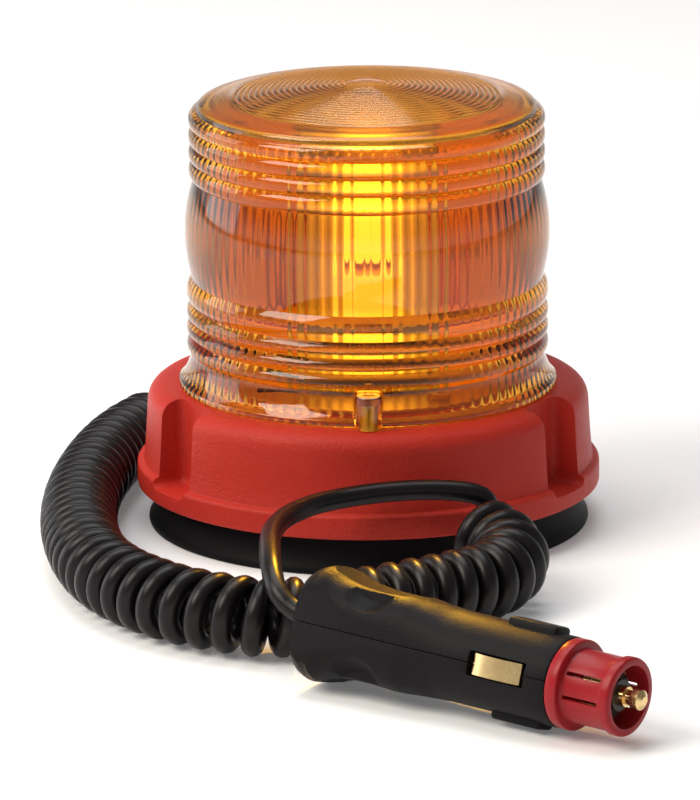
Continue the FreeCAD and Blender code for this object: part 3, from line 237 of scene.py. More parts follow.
@dataclass(frozen=True)
class Metal:
    """Metal with fine scratches and dull patches."""

    name: str
    colour: Colour
    dull: Colour
    roughness: float
    patch: float = 6.0

    def make(self) -> bpy.types.Material:
        """Build the material.

        Returns:
            The finished material.
        """
        board = Board.named(self.name)
        patches = board.noise(self.patch, 5.0, 0.6)
        lines = board.noise(0.35, 2.0, 0.5, (1.0, 1.0, 0.12))
        return board.surface(
            Base_Color=board.blend(patches, self.dull, self.colour), Metallic=1.0,
            Roughness=self.roughness + patches * 0.12 + (lines - 0.5) * 0.08,
            Normal=board.bump(lines, 0.15, 0.02))


@dataclass(frozen=True)
class AmberLensFinish:
    """Transparent amber moulding with faint flow marks."""

    name: str = "amber_lens"
    colour: Colour = (0.88, 0.37, 0.03)
    thick: Colour = (0.58, 0.215, 0.022)
    satin: float = 0.11
    ior: float = 1.47
    tall: float = 110.0

    def make(self) -> bpy.types.Material:
        """Build the material.

        Returns:
            The finished material.
        """
        board = Board.named(self.name)
        flow = board.noise(5.0, 3.0, 0.5, (1.0, 1.0, 0.35))
        specks = board.noise(0.9, 2.0, 0.6)
        height = board.along(2) * (1.0 / (self.tall * MM))
        depth = board.node("ShaderNodeValToRGB", {"stops": (
            (0.0, self.colour), (0.53, self.colour), (0.57, self.thick), (0.76, self.thick),
            (0.80, self.colour), (1.0, self.colour))}, {0: height})
        satin = board.node("ShaderNodeMapRange", {}, {
            "Value": height, "From Min": 0.918, "From Max": 0.938, "To Min": 0.0,
            "To Max": self.satin})
        return board.surface(
            Base_Color=depth, Transmission_Weight=1.0, IOR=self.ior,
            Specular_IOR_Level=0.27,
            Roughness=0.035 + flow * 0.03 + satin,
            Normal=board.bump(flow * 0.9 + specks * 0.1, 0.1, 0.1))


@dataclass(frozen=True)
class ClearGlass:
    """Clear glass, thinly filmed."""

    name: str = "clear_glass"

    def make(self) -> bpy.types.Material:
        """Build the material.

        Returns:
            The finished material.
        """
        board = Board.named(self.name)
        film = board.noise(4.0, 2.0)
        return board.surface(Base_Color=(0.97, 0.98, 0.98, 1.0), Transmission_Weight=1.0,
                             IOR=1.2, Roughness=0.01 + film * 0.02)


@dataclass(frozen=True)
class LampAndPaintedGlow:
    """Emissive surface, brightest at the filament's height: the glass of the burning lamp, and
    painted glow on the lamp holder, which is no lamp.
    """

    name: str = "lamp_glow"
    colour: Colour = (1.0, 0.84, 0.34)
    strength: float = 5.5
    filament: float = 75.0
    reach: float = 22.0

    def make(self) -> bpy.types.Material:
        """Build the material.

        Returns:
            The finished material.
        """
        board = Board.named(self.name)
        away = board.math("ABSOLUTE", board.along(2) * (1.0 / (self.reach * MM))
                          - self.filament / self.reach)
        glow = board.math("MAXIMUM", 1.0 - away, 0.25)
        dark = tuple(0.5 * part for part in self.colour)
        return board.surface(Base_Color=(0.9, 0.9, 0.88, 1.0), Roughness=0.25,
                             Emission_Color=board.blend(glow, dark, self.colour),
                             Emission_Strength=self.strength)


@dataclass(frozen=True)
class BrightSheet:
    """Metallised reflector sheet, brushed across, with a painted reflection: its colour is
    brightest along its middle, as a column of the bulb's reflected light, and darker to the sides.
    """

    name: str = "bright_sheet"
    half_width: float = 17.0
    # Colour stops of the painted reflection, from the centre line outwards.
    painted_reflection_stops: tuple[tuple[float, Colour], ...] = (
        (0.0, (0.95, 0.95, 0.94)), (0.28, (0.9, 0.9, 0.89)), (0.5, (0.42, 0.42, 0.41)),
        (1.0, (0.3, 0.3, 0.29)))

    def make(self) -> bpy.types.Material:
        """Build the material.

        Returns:
            The finished material.
        """
        board = Board.named(self.name)
        marks = board.noise(0.5, 2.0, 0.5, (0.05, 0.05, 1.0))
        haze = board.noise(14.0, 3.0)
        # Painted reflection: the base colour is bright along the middle and darker to the sides, by
        # distance from the centre line, standing in for the bulb's reflected light.
        aside = board.math("ABSOLUTE", board.along(0) * (1.0 / (self.half_width * MM)))
        painted_reflection = board.node("ShaderNodeValToRGB", {"stops": self.painted_reflection_stops},
                          {0: aside + (haze - 0.5) * 0.2})
        return board.surface(
            Base_Color=painted_reflection, Metallic=1.0,
            Roughness=0.42 + haze * 0.10, Normal=board.bump(marks, 0.9, 0.25))


class Finish(Enum):
    """Finishes of the beacon's pieces."""

    AMBER = AmberLensFinish()
    GLASS = ClearGlass()
    GLOW = LampAndPaintedGlow()
    # Painted glow: the lamp holder is no lamp, yet it gets an emission, strongest near the
    # filament's height and fading downward, that stands in for the bulb's light seen through it.
    LIT_CERAMIC = LampAndPaintedGlow("lit_ceramic", (1.0, 0.86, 0.4), 3.4, 70.0, 40.0)
    MIRROR = BrightSheet()
    RED_BASE = Moulding("red_base", (0.50, 0.034, 0.018), (0.43, 0.022, 0.017), 0.42, 0.22, 0.75,
                        0.42, 0.16)
    RED_SLEEVE = Moulding("red_sleeve", (0.34, 0.013, 0.018), (0.27, 0.009, 0.014), 0.32, 0.1, 1.6,
                          0.05, 0.2)
    BOOT = Moulding("boot_rubber", (0.010, 0.009, 0.010), (0.006, 0.006, 0.007), 0.5, 0.16, 0.8,
                    0.06, 0.05)
    PLUG_BLACK = Moulding("plug_black", (0.011, 0.010, 0.011), (0.007, 0.006, 0.008), 0.42, 0.2,
                          0.45, 0.2, 0.08)
    CORD = Moulding("cord_jacket", (0.008, 0.006, 0.007), (0.005, 0.004, 0.005), 0.33, 0.1, 2.4,
                    0.03, 0.22)
    SEAL = Moulding("seal_silicone", (0.72, 0.12, 0.05), (0.62, 0.09, 0.04), 0.5, 0.1, 0.6, 0.04)
    WHITE = Moulding("white_moulding", (0.78, 0.77, 0.72), (0.7, 0.69, 0.64), 0.4, 0.1, 1.0, 0.04)
    PHENOLIC = Moulding("dark_phenolic", (0.03, 0.022, 0.018), (0.02, 0.014, 0.012), 0.3, 0.1, 0.8,
                        0.03)
    BROWN_WIRE = Moulding("brown_insulation", (0.3, 0.1, 0.04), (0.22, 0.07, 0.03), 0.35, 0.1, 1.0,
                          0.02)
    BLACK_WIRE = Moulding("black_insulation", (0.02, 0.02, 0.02), (0.012, 0.012, 0.012), 0.35, 0.1,
                          1.0, 0.02)
    FERRITE = Moulding("sintered_ferrite", (0.07, 0.07, 0.075), (0.045, 0.045, 0.05), 0.6, 0.2, 0.5,
                       0.05)
    BRASS = Metal("plain_brass", (0.88, 0.66, 0.33), (0.66, 0.45, 0.2), 0.2)
    ZINC = Metal("zinc_plate", (0.68, 0.67, 0.6), (0.52, 0.52, 0.48), 0.28)
    SCREW = Metal("screw_steel", (0.62, 0.6, 0.56), (0.45, 0.44, 0.42), 0.26, 2.0)
    TUNGSTEN = Metal("tungsten_wire", (0.5, 0.5, 0.52), (0.38, 0.38, 0.4), 0.35, 1.0)

    def material(self) -> bpy.types.Material:
        """Return this finish's material, made once."""
        made = bpy.data.materials.get(self.value.name + SUFFIX)
        return made or self.value.make()


# ------------------------------------------------------------------ work bench
class Bench:
    """Hand tools that shape one mesh object at a time, in millimetres."""

    @staticmethod
    def clear() -> None:
        """Leave edit mode and deselect everything."""
        if bpy.context.object is not None and bpy.context.object.mode != "OBJECT":
            bpy.ops.object.mode_set(mode="OBJECT")
        bpy.ops.object.select_all(action="DESELECT")

    @staticmethod
    def take(piece: bpy.types.Object) -> None:
        """Select one object and make it active.

        Args:
            piece: Object to work on.
        """
        Bench.clear()
        piece.select_set(True)
        bpy.context.view_layer.objects.active = piece

    @staticmethod
    def pick(piece: bpy.types.Object, wanted: Callable[[Vector], bool]) -> None:
        """Enter edit mode with the vertices that a test wants.

        Args:
            piece: Object to work on.
            wanted: Test of a vertex's place, in metres.
        """
        Bench.take(piece)
        bpy.ops.object.mode_set(mode="EDIT")
        bpy.ops.mesh.select_mode(type="VERT")
        bpy.ops.mesh.select_all(action="DESELECT")
        mesh = bmesh.from_edit_mesh(piece.data)
        for vertex in mesh.verts:
            vertex.select = wanted(vertex.co)
        mesh.select_flush(True)
        bmesh.update_edit_mesh(piece.data)

    @staticmethod
    def spin(name: str, outline: Outline, steps: int,
             axis: Point = (0.0, 0.0, 1.0)) -> bpy.types.Object:
        """Turned piece from a closed outline.

        Args:
            name: Name of the new object.
            outline: (radius, place along the axis) pairs in millimetres.
            steps: Segments round the axis.
            axis: +Z, or +X where the outline's second value is the place along X.

        Returns:
            The new object.
        """
        def point(radius: float, along: float) -> Vector:
            """Return the outline point in metres."""
            if axis[0]:
                return Vector((along, 0.0, radius)) * MM
            return Vector((radius, 0.0, along)) * MM

        Bench.clear()
        places = [point(*pair) for pair in outline]
        bpy.ops.mesh.primitive_plane_add(size=MM, location=(0.0, 0.0, 0.0))
        piece = bpy.context.object
        piece.name = name
        bpy.ops.object.mode_set(mode="EDIT")
        bpy.ops.mesh.select_all(action="SELECT")
        bpy.ops.mesh.merge(type="CENTER")
        bpy.ops.transform.translate(value=places[0])
        for before, after in zip(places, places[1:]):
            bpy.ops.mesh.extrude_region_move(TRANSFORM_OT_translate={"value": after - before})
        bpy.ops.mesh.select_all(action="SELECT")
        bpy.ops.mesh.spin(steps=steps, angle=2 * math.pi, center=(0, 0, 0), axis=axis)
        bpy.ops.mesh.select_all(action="SELECT")
        bpy.ops.mesh.remove_doubles(threshold=0.002 * MM)
        bpy.ops.mesh.normals_make_consistent(inside=False)
        bpy.ops.object.mode_set(mode="OBJECT")
        return piece

    @staticmethod
    def block(name: str, size: Sequence[float], centre: Sequence[float], turn: float = 0.0,
              edge: float = 0.0, axis: str = "Z") -> bpy.types.Object:
        """Rounded block used as a cutter or a lump.

        Args:
            name: Name of the new object.
            size: Length, width and height in millimetres.
            centre: Centre in millimetres.
            turn: Angle about the axis through the origin, in degrees.
            edge: Rounding of the edges in millimetres.
            axis: Axis of the turn.

        Returns:
            The new object.
        """
        Bench.clear()
        bpy.ops.mesh.primitive_cube_add(size=1.0, location=Vector(centre) * MM)
        piece = bpy.context.object
        piece.name = name
        piece.scale = Vector(size) * MM
        Bench.settle(piece)
        if edge:
            Bench.bevel(piece, edge, 4)
        if turn:
            piece.matrix_world = Matrix.Rotation(math.radians(turn), 4, axis)
            Bench.settle(piece)
        return piece

    @staticmethod
    def rod(radius: float, depth: float, centre: Sequence[float],
            sides: int = 32) -> bpy.types.Object:
        """Upright cylinder, measured in millimetres.

        Args:
            radius: Its radius.
            depth: Its height.
            centre: Place of its middle.
            sides: Faces around it.

        Returns:
            The new object.
        """
        Bench.clear()
        bpy.ops.mesh.primitive_cylinder_add(vertices=sides, radius=radius * MM, depth=depth * MM,
                                            location=Vector(centre) * MM)
        rod = bpy.context.object
        Bench.settle(rod)
        return rod

    @staticmethod
    def settle(piece: bpy.types.Object) -> None:
        """Apply an object's place, turn and scale to its mesh."""
        Bench.take(piece)
        bpy.ops.object.transform_apply(location=True, rotation=True, scale=True)

    @staticmethod
    def modify(piece: bpy.types.Object, kind: str, **settings: Any) -> None:
        """Add a modifier and apply it.

        Args:
            piece: Object that gets the modifier.
            kind: Blender's type name of the modifier.
            settings: Attributes of the modifier.
        """
        Bench.take(piece)
        modifier = piece.modifiers.new(kind.lower(), kind)
        for key, value in settings.items():
            setattr(modifier, key, value)
        bpy.ops.object.modifier_apply(modifier=modifier.name)

    @staticmethod
    def bevel(piece: bpy.types.Object, width: float, segments: int, angle: float = 35.0) -> None:
        """Round edges sharper than an angle in degrees by a width in millimetres."""
        Bench.modify(piece, "BEVEL", width=width * MM, segments=segments, limit_method="ANGLE",
                     angle_limit=math.radians(angle), use_clamp_overlap=True)

    @staticmethod
    def join_by(piece: bpy.types.Object, tool: bpy.types.Object, operation: str) -> None:
        """Cut away, add or keep only what a tool covers, and remove the tool."""
        Bench.modify(piece, "BOOLEAN", object=tool, operation=operation, solver="EXACT")
        bpy.data.objects.remove(tool, do_unlink=True)

    @staticmethod
    def smooth(piece: bpy.types.Object, angle: float = 32.0) -> None:
        """Shade smooth where faces meet at less than an angle in degrees."""
        Bench.take(piece)
        bpy.ops.object.shade_smooth_by_angle(angle=math.radians(angle))

    @staticmethod
    def finish(piece: bpy.types.Object, finish: Finish, body: Body, slot: str,
               *nodes: str) -> None:
        """Dress a piece and hand it to its body.

        Args:
            piece: Finished object.
            finish: Its finish.
            body: Body that it moves with.
            slot: Material slot of the record; not used.
            nodes: CAD nodes that it replaces.
        """
        Bench.clear()
        piece.data.materials.clear()
        piece.data.materials.append(finish.material())
        if nodes:
            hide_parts(*nodes)
        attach(piece, body.value)
        LOG.info("%s: %s on %s", piece.name, finish.name.lower(), body.value)


def arc(start: tuple[float, float], middle: tuple[float, float], end: tuple[float, float],
        count: int) -> list[tuple[float, float]]:
    """Points on a curve that starts and ends at two points and passes a third half-way.

    Args:
        start: First point.
        middle: Point at the middle.
        end: Last point.
        count: Number of steps.

    Returns:
        The points after the start, the end included.
    """
    bend = [2 * m - (a + b) / 2 for a, m, b in zip(start, middle, end)]
    points = []
    for step in range(1, count + 1):
        t = step / count
        points.append(tuple((1 - t) ** 2 * a + 2 * t * (1 - t) * c + t ** 2 * b
                            for a, c, b in zip(start, bend, end)))
    return points


# ------------------------------------------------------------------ studio
@dataclass
class Studio:
    """Camera, floor and soft lamps."""

    focal: float = 360.0
    sensor: float = 36.0
    distance: float = 1937.0
    pitch: float = 14.9
    roll: float = -0.34
    aim: tuple[float, float] = (-4.37, 29.2)

    def camera(self) -> None:
        """Set up the camera."""
        pitch, roll = math.radians(self.pitch), math.radians(self.roll)
        side, ahead = Vector((1, 0, 0)), Vector((0, math.cos(pitch), -math.sin(pitch)))
        above = side.cross(ahead)
        right = side * math.cos(roll) + above * math.sin(roll)
        above = above * math.cos(roll) - side * math.sin(roll)
        place = Vector((self.aim[0], 0, self.aim[1])) * MM - ahead * self.distance * MM
        data = bpy.data.cameras.new("studio_camera")
        data.lens, data.sensor_width, data.clip_end = self.focal, self.sensor, 20.0
        camera = bpy.data.objects.new("studio_camera", data)
        bpy.context.scene.collection.objects.link(camera)
        camera.matrix_world = Matrix((
            (right.x, above.x, -ahead.x, place.x), (right.y, above.y, -ahead.y, place.y),
            (right.z, above.z, -ahead.z, place.z), (0, 0, 0, 1)))
        bpy.context.scene.camera = camera

    def floor(self) -> None:
        """Lay the floor."""
        Bench.clear()
        bpy.ops.mesh.primitive_circle_add(vertices=64, radius=6.0, fill_type="NGON",
                                          location=(0, 0, 0))
        paper = bpy.context.object
        paper.name = "studio_floor"
        paper.data.materials.append(self.shadow_paper())

    def shadow_paper(self) -> bpy.types.Material:
        """Paper that is white where no shadow falls.

        Returns:
            The finished material.
        """
        board = Board.named("shadow_paper")
        grain = board.noise(60.0, 2.0)
        diffuse = board.node("ShaderNodeBsdfDiffuse", {}, {
            "Color": board.blend(grain, (0.84, 0.84, 0.85), (0.86, 0.86, 0.87))})
        glow = board.node("ShaderNodeEmission", {}, {"Color": (1, 1, 1, 1), "Strength": 0.12})
        total = board.node("ShaderNodeAddShader", {}, {0: diffuse, 1: glow})
        board.node("ShaderNodeOutputMaterial", {}, {"Surface": total})
        return board.holder

    def world(self) -> None:
        """Light the room evenly and show it white behind the part."""
        world = bpy.data.worlds.new("studio_world")
        bpy.context.scene.world = world
        board = Board(world)
        low = board.node("ShaderNodeMapRange", {}, {
            "Value": board.along(2, "Generated"), "From Min": 0.05, "From Max": 0.22,
            "To Min": 1.0, "To Max": 0.0})
        glossy, through, camera = (
            board.node("ShaderNodeLightPath", output=f"Is {kind} Ray")
            for kind in ("Glossy", "Transmission", "Camera"))
        seen = board.math("MAXIMUM", camera, board.math("MAXIMUM", glossy * low, through))
        room = board.node("ShaderNodeBackground", {}, {
            "Color": (1.0, 0.99, 0.98, 1.0), "Strength": 0.22})
        backdrop = board.node("ShaderNodeBackground", {}, {
            "Color": (1.0, 1.0, 1.0, 1.0), "Strength": 1.0})
        mix = board.node("ShaderNodeMixShader", {}, {0: seen, 1: room, 2: backdrop})
        board.node("ShaderNodeOutputWorld", {}, {"Surface": mix})

    @staticmethod
    def hang(data: bpy.types.Light, place: Vector, aim: Vector) -> bpy.types.Object:
        """Hang a lamp.

        Args:
            data: Settings of the lamp, whose name it takes.
            place: Place in metres.
            aim: Place that it points at.

        Returns:
            The lamp.
        """
        lamp = bpy.data.objects.new(data.name, data)
        bpy.context.scene.collection.objects.link(lamp)
        lamp.matrix_world = (Matrix.Translation(place)
                             @ (aim - place).to_track_quat("-Z", "Y").to_matrix().to_4x4())
        return lamp

    def lamp(self, name: str, place: Sequence[float], size: float, power: float,
             colour: Colour = (1.0, 1.0, 1.0)) -> None:
        """Hang one square soft lamp that points at the beacon.

        Args:
            name: Name of the lamp.
            place: Place in metres.
            size: Side in metres.
            power: Power in watts.
            colour: Colour of its light.
        """
        data = bpy.data.lights.new(name, "AREA")
        data.energy, data.size, data.color = power, size, colour
        self.hang(data, Vector(place), Vector((0, -0.03, 0.05)))

    def spill(self) -> None:
        """Spot that throws the lamp's amber light on the plug and the cord in front."""
        data = bpy.data.lights.new("amber_spill", "SPOT")
        data.energy, data.color, data.shadow_soft_size = 0.8, (1.0, 0.5, 0.03), 0.008
        data.spot_size, data.spot_blend = math.radians(52), 0.8
        lamp = self.hang(data, Vector((0.004, -0.052, 0.088)), Vector((-0.004, -0.142, 0.02)))
        lamp.visible_camera = False
        lamp.visible_transmission = False

    def build(self) -> None:
        """Build the whole studio."""
        bpy.context.scene.view_settings.view_transform = "Standard"
        self.camera()
        self.floor()
        self.world()
        self.lamp("left_softbox", (-0.85, -0.5, 0.95), 0.75, 15.0, (1.0, 0.94, 0.82))
        self.lamp("side_softbox", (-0.95, 0.28, 0.33), 0.6, 2.6)
        self.lamp("top_softbox", (-0.1, 0.2, 1.2), 0.9, 10.0)
        self.spill()


# ------------------------------------------------------------------ cord
@dataclass
class SpiralCord:
    """Cord with plain ends and a spiral between them."""

    radius: float = 2.5
    helix: float = 6.95
    coil_z: float = 9.65
    gland: Point = (-9.318, 34.774, 22.0)
    lead: tuple[Point, ...] = (
        (-15.736, 58.728, 22.0), (-18.0, 66.0, 21.4), (-25.0, 72.8, 19.6), (-35.0, 74.6, 17.6),
        (-42.2, 69.4, 16.65))
    coil: tuple[Point, ...] = (
        (-47.3, 60.8, 9.65), (-57.5, 43.5, 9.65), (-65.0, 18.0, 9.65), (-69.5, -16.0, 9.65),
        (-69.0, -50.0, 9.65), (-63.0, -82.0, 9.65), (-48.0, -106.0, 9.65), (-29.5, -118.2, 9.65),
        (-18.0, -120.0, 9.65), (-7.0, -114.5, 9.65), (6.9, -106.0, 9.65), (18.5, -98.0, 9.65),
        (28.5, -90.0, 9.65), (33.5, -79.5, 10.85), (31.5, -69.0, 12.45), (24.0, -63.7, 14.25))
    tail: tuple[Point, ...] = (
        (28.4, -57.6, 18.4), (26.4, -57.8, 21.6), (18.0, -58.2, 22.8), (7.0, -59.2, 22.9),
        (-3.5, -60.4, 22.0), (-13.5, -66.5, 21.7),
        (-20.5, -79.0, 21.8), (-23.0, -93.5, 22.2), (-23.0, -108.0, 22.9), (-22.6, -121.0, 22.8),
        (-21.5, -130.6, 19.0), (-16.64, -133.45, 14.24))
    pitch_back: float = 5.15
    pitch_front: float = 6.3
    turn_points: int = 14
    lead_in: float = 60.0
    lead_reach: float = 16.0
    far_end: float = -82.5
    jacket_share: float = 0.985

    @staticmethod
    def spline(name: str, points: Iterable[Sequence[float]], bevel: float) -> bpy.types.Object:
        """Open NURBS curve through given control points.

        Args:
            name: Name of the curve object.
            points: Control points in millimetres.
            bevel: Radius of the curve's tube in millimetres.

        Returns:
            The curve object.
        """
        points = [Vector(p) * MM for p in points]
        data = bpy.data.curves.new(name, "CURVE")
        data.dimensions = "3D"
        run = data.splines.new("NURBS")
        run.points.add(len(points) - 1)
        for slot, point in zip(run.points, points):
            slot.co = (*point, 1.0)
        run.order_u = 3
        run.use_endpoint_u = True
        run.resolution_u = 3
        data.bevel_depth = bevel * MM
        data.bevel_resolution = 4
        data.use_fill_caps = True
        curve = bpy.data.objects.new(name, data)
        bpy.context.scene.collection.objects.link(curve)
        return curve

    def route(self) -> list[Vector]:
        """Points read from the smooth line of the spiral, in millimetres.

        Returns:
            Points in millimetres.
        """
        guide = self.spline("coil_guide", self.coil, 0.0)
        guide.data.splines[0].resolution_u = 24
        bpy.context.view_layer.update()
        mesh = bpy.data.meshes.new_from_object(guide)
        points = [vertex.co / MM for vertex in mesh.vertices]
        bpy.data.objects.remove(guide)
        return points

    def turns(self) -> list[Vector]:
        """Control points of the spiral round its route, from the lead to the tail.

        Returns:
            Points in millimetres.
        """
        route = self.route()
        lengths = [0.0]
        for a, b in zip(route, route[1:]):
            lengths.append(lengths[-1] + (b - a).length)
        total = lengths[-1]
        stops, along = [], 1.0
        while along < total - 0.5:
            stops.append(along)
            share = along / total
            front = min(1.0, max(0.0, (share - 0.42) / 0.2), max(0.0, (0.9 - share) / 0.12))
            pitch = self.pitch_back + (self.pitch_front - self.pitch_back) * front
            pitch += self.lead_in * max(0.0, 1.0 - along / self.lead_reach) ** 2
            along += pitch / self.turn_points
        whole = round((len(stops) - 1) / self.turn_points) - 0.25
        step = -2 * math.pi * whole / (len(stops) - 1)
        points, index = [], 0
        for count, along in enumerate(stops):
            while lengths[index + 1] < along:
                index += 1
            share = (along - lengths[index]) / (lengths[index + 1] - lengths[index])
            centre = route[index].lerp(route[index + 1], share)
            ahead = (route[index + 1] - route[index]).normalized()
            side = (Vector((0, 0, 1)) - ahead * ahead.z).normalized()
            across = ahead.cross(side)
            points.append(centre + side * self.helix * math.cos(count * step)
                          + across * self.helix * math.sin(count * step))
        return points

    def build(self) -> None:
        """Build the cord."""
        points = [Vector(self.gland)] + [Vector(p) for p in self.lead]
        points += self.turns()
        points += [Vector(p) for p in self.tail]
        points.append(Plug().place() @ Vector((self.far_end, 0, 0)))
        cord = self.spline("spiral_cord", points, self.radius)
        Bench.clear()
        cord.data.materials.append(Finish.CORD.material())
        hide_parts("cord_lead", "cord_coil", "cord_tail")
        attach(cord, Body.BEACON.value)


# ------------------------------------------------------------------ lens
@dataclass
class AmberLens:
    """Ribbed and fluted lens with three screw lugs."""

    steps: int = 360
    base: float = 34.4
    foot: float = 45.6
    lower: tuple[float, ...] = (42.2, 46.5, 50.3, 54.4, 60.7)
    upper: tuple[float, ...] = (85.0, 89.4, 93.4, 97.6, 101.4)
    lower_crest: float = 43.7
    upper_crest: float = 42.9
    ring_pitch: float = 1.45
    ring_count: int = 20
    flute: float = 39.9
    flute_depth: float = 0.26
    gap: float = 0.06
    lug_out: float = 46.4
    lug_angles: tuple[float, ...] = (-90.0, 30.0, 150.0)

    def rings(self) -> list[tuple[float, float]]:
        """Outline of the ringed top, from the edge to the centre.

        Returns:
            Radius and place of each corner in millimetres.
        """
        def height(radius: float) -> float:
            """Return the dome's height at a radius."""
            ball = (37.4 ** 2 + 4.4 ** 2) / 8.8
            return 103.7 + 4.4 - ball + math.sqrt(ball ** 2 - radius ** 2)

        points = [(36.4, height(36.4)), (34.6, height(34.6))]
        for step in range(self.ring_count, 0, -1):
            outer = 3.6 + self.ring_pitch * step
            for part, sink in ((0.0, 0.26), (0.2, 0.1), (0.5, 0.0), (0.8, 0.1)):
                radius = outer - self.ring_pitch * part
                points.append((radius, height(radius) - sink))
        points += [(3.6, height(3.6)), (1.8, height(1.8)), (0.0, height(0.0))]
        return points

    def outline(self) -> list[tuple[float, float]]:
        """Closed outline of the lens wall.

        Returns:
            Radius and place of each corner in millimetres.
        """
        points = [(39.6, self.base + self.gap), (self.foot - 0.3, self.base + self.gap),
                  (self.foot, self.base + 0.3), (self.foot, self.base + 1.3),
                  (self.foot - 0.25, self.base + 1.6)]
        points += arc((self.foot - 0.8, self.base + 2.0), (43.45, 38.9), (42.4, self.lower[0]), 7)
        for low, high in zip(self.lower, self.lower[1:]):
            fin = high - low
            crest = self.lower_crest
            points += [(42.45, low + 0.18), (crest - 0.35, low + fin * 0.22),
                       (crest - 0.06, low + fin * 0.36), (crest, low + fin * 0.5),
                       (crest - 0.1, low + fin * 0.66), (crest - 0.5, low + fin * 0.84),
                       (42.4, high)]
        points += arc((42.4, self.lower[-1]), (44.0, 73.0), (41.75, self.upper[0]), 12)
        for low, high in zip(self.upper, self.upper[1:]):
            fin = high - low
            crest = self.upper_crest
            points += [(42.3, low + fin * 0.08), (crest - 0.18, low + fin * 0.22),
                       (crest, low + fin * 0.4), (crest, low + fin * 0.55),
                       (crest - 0.2, low + fin * 0.76), (42.25, low + fin * 0.92),
                       (41.75, high)]
        points += [(40.9, 101.7), (40.8, 102.2)]
        points += arc((40.8, 102.2), (39.9, 103.25), (37.4, 103.7), 6)
        points += self.rings()
        points += [(0.0, 105.2), (14.0, 104.6), (26.0, 103.1), (34.0, 101.5), (38.4, 100.3),
                   (39.5, 99.4), (self.flute, 98.2)]
        points += [(self.flute, z) for z in (92.0, 84.0, 72.0, 60.0, 48.0, 40.0)]
        points += [(self.flute, self.base + 0.8), (39.6, self.base + self.gap)]
        return points

    def flutes(self, piece: bpy.types.Object) -> None:
        """Draw every fourth edge of the inner wall inwards and fair the edges beside it.

        Args:
            piece: Turned lens.
        """
        step = 2 * math.pi / self.steps

        def near(co: Vector, wanted: set[int]) -> bool:
            """Whether a vertex is on the inner wall at a wanted place in a flute.

            Args:
                co: Place of the vertex in metres.
                wanted: Places in a flute, as numbers of edges.

            Returns:
                True if it is.
            """
            radius = math.hypot(co.x, co.y) / MM
            if not (self.flute - 0.05 < radius < self.flute + 0.05):
                return False
            if not (self.base + 0.5 < co.z / MM < 98.4):
                return False
            return round(math.atan2(co.y, co.x) / step) % 4 in wanted

        for wanted, depth in (({0}, self.flute_depth), ({1, 3}, self.flute_depth * 0.28)):
            Bench.pick(piece, lambda co, w=wanted: near(co, w))
            share = 1 - depth / self.flute
            bpy.ops.transform.resize(value=(share, share, 1.0), center_override=(0, 0, 0))
            bpy.ops.object.mode_set(mode="OBJECT")

    def lug(self, angle: float) -> bpy.types.Object:
        """Screw lug with hollowed flanks.

        Args:
            angle: Direction of the lug in degrees.

        Returns:
            The lug as a separate object.
        """
        boss = Bench.rod(3.1, 8.1, (self.lug_out, 0, 38.5), 48)
        Bench.pick(boss, lambda co: co.x < 44.6 * MM)
        bpy.ops.transform.translate(value=(-1.7 * MM, 0, 0))
        bpy.ops.transform.resize(value=(1, 1.5, 1), center_override=(42 * MM, 0, 0))
        Bench.clear()
        Bench.bevel(boss, 0.5, 3, 60)
        boss.matrix_world = Matrix.Rotation(math.radians(angle), 4, "Z")
        Bench.settle(boss)
        return boss

    def build(self) -> None:
        """Build the lens."""
        lens = Bench.spin("amber_lens", self.outline(), self.steps)
        self.flutes(lens)
        for angle in self.lug_angles:
            Bench.join_by(lens, self.lug(angle), "UNION")
        for angle in self.lug_angles:
            turn = math.radians(angle)
            well = (self.lug_out * math.cos(turn), self.lug_out * math.sin(turn), 42.7)
            Bench.join_by(lens, Bench.rod(2.95, 4.0, well), "DIFFERENCE")
        Bench.smooth(lens, 40)
        Bench.finish(lens, Finish.AMBER, Body.BEACON, "amber_lens", "lens_dome")


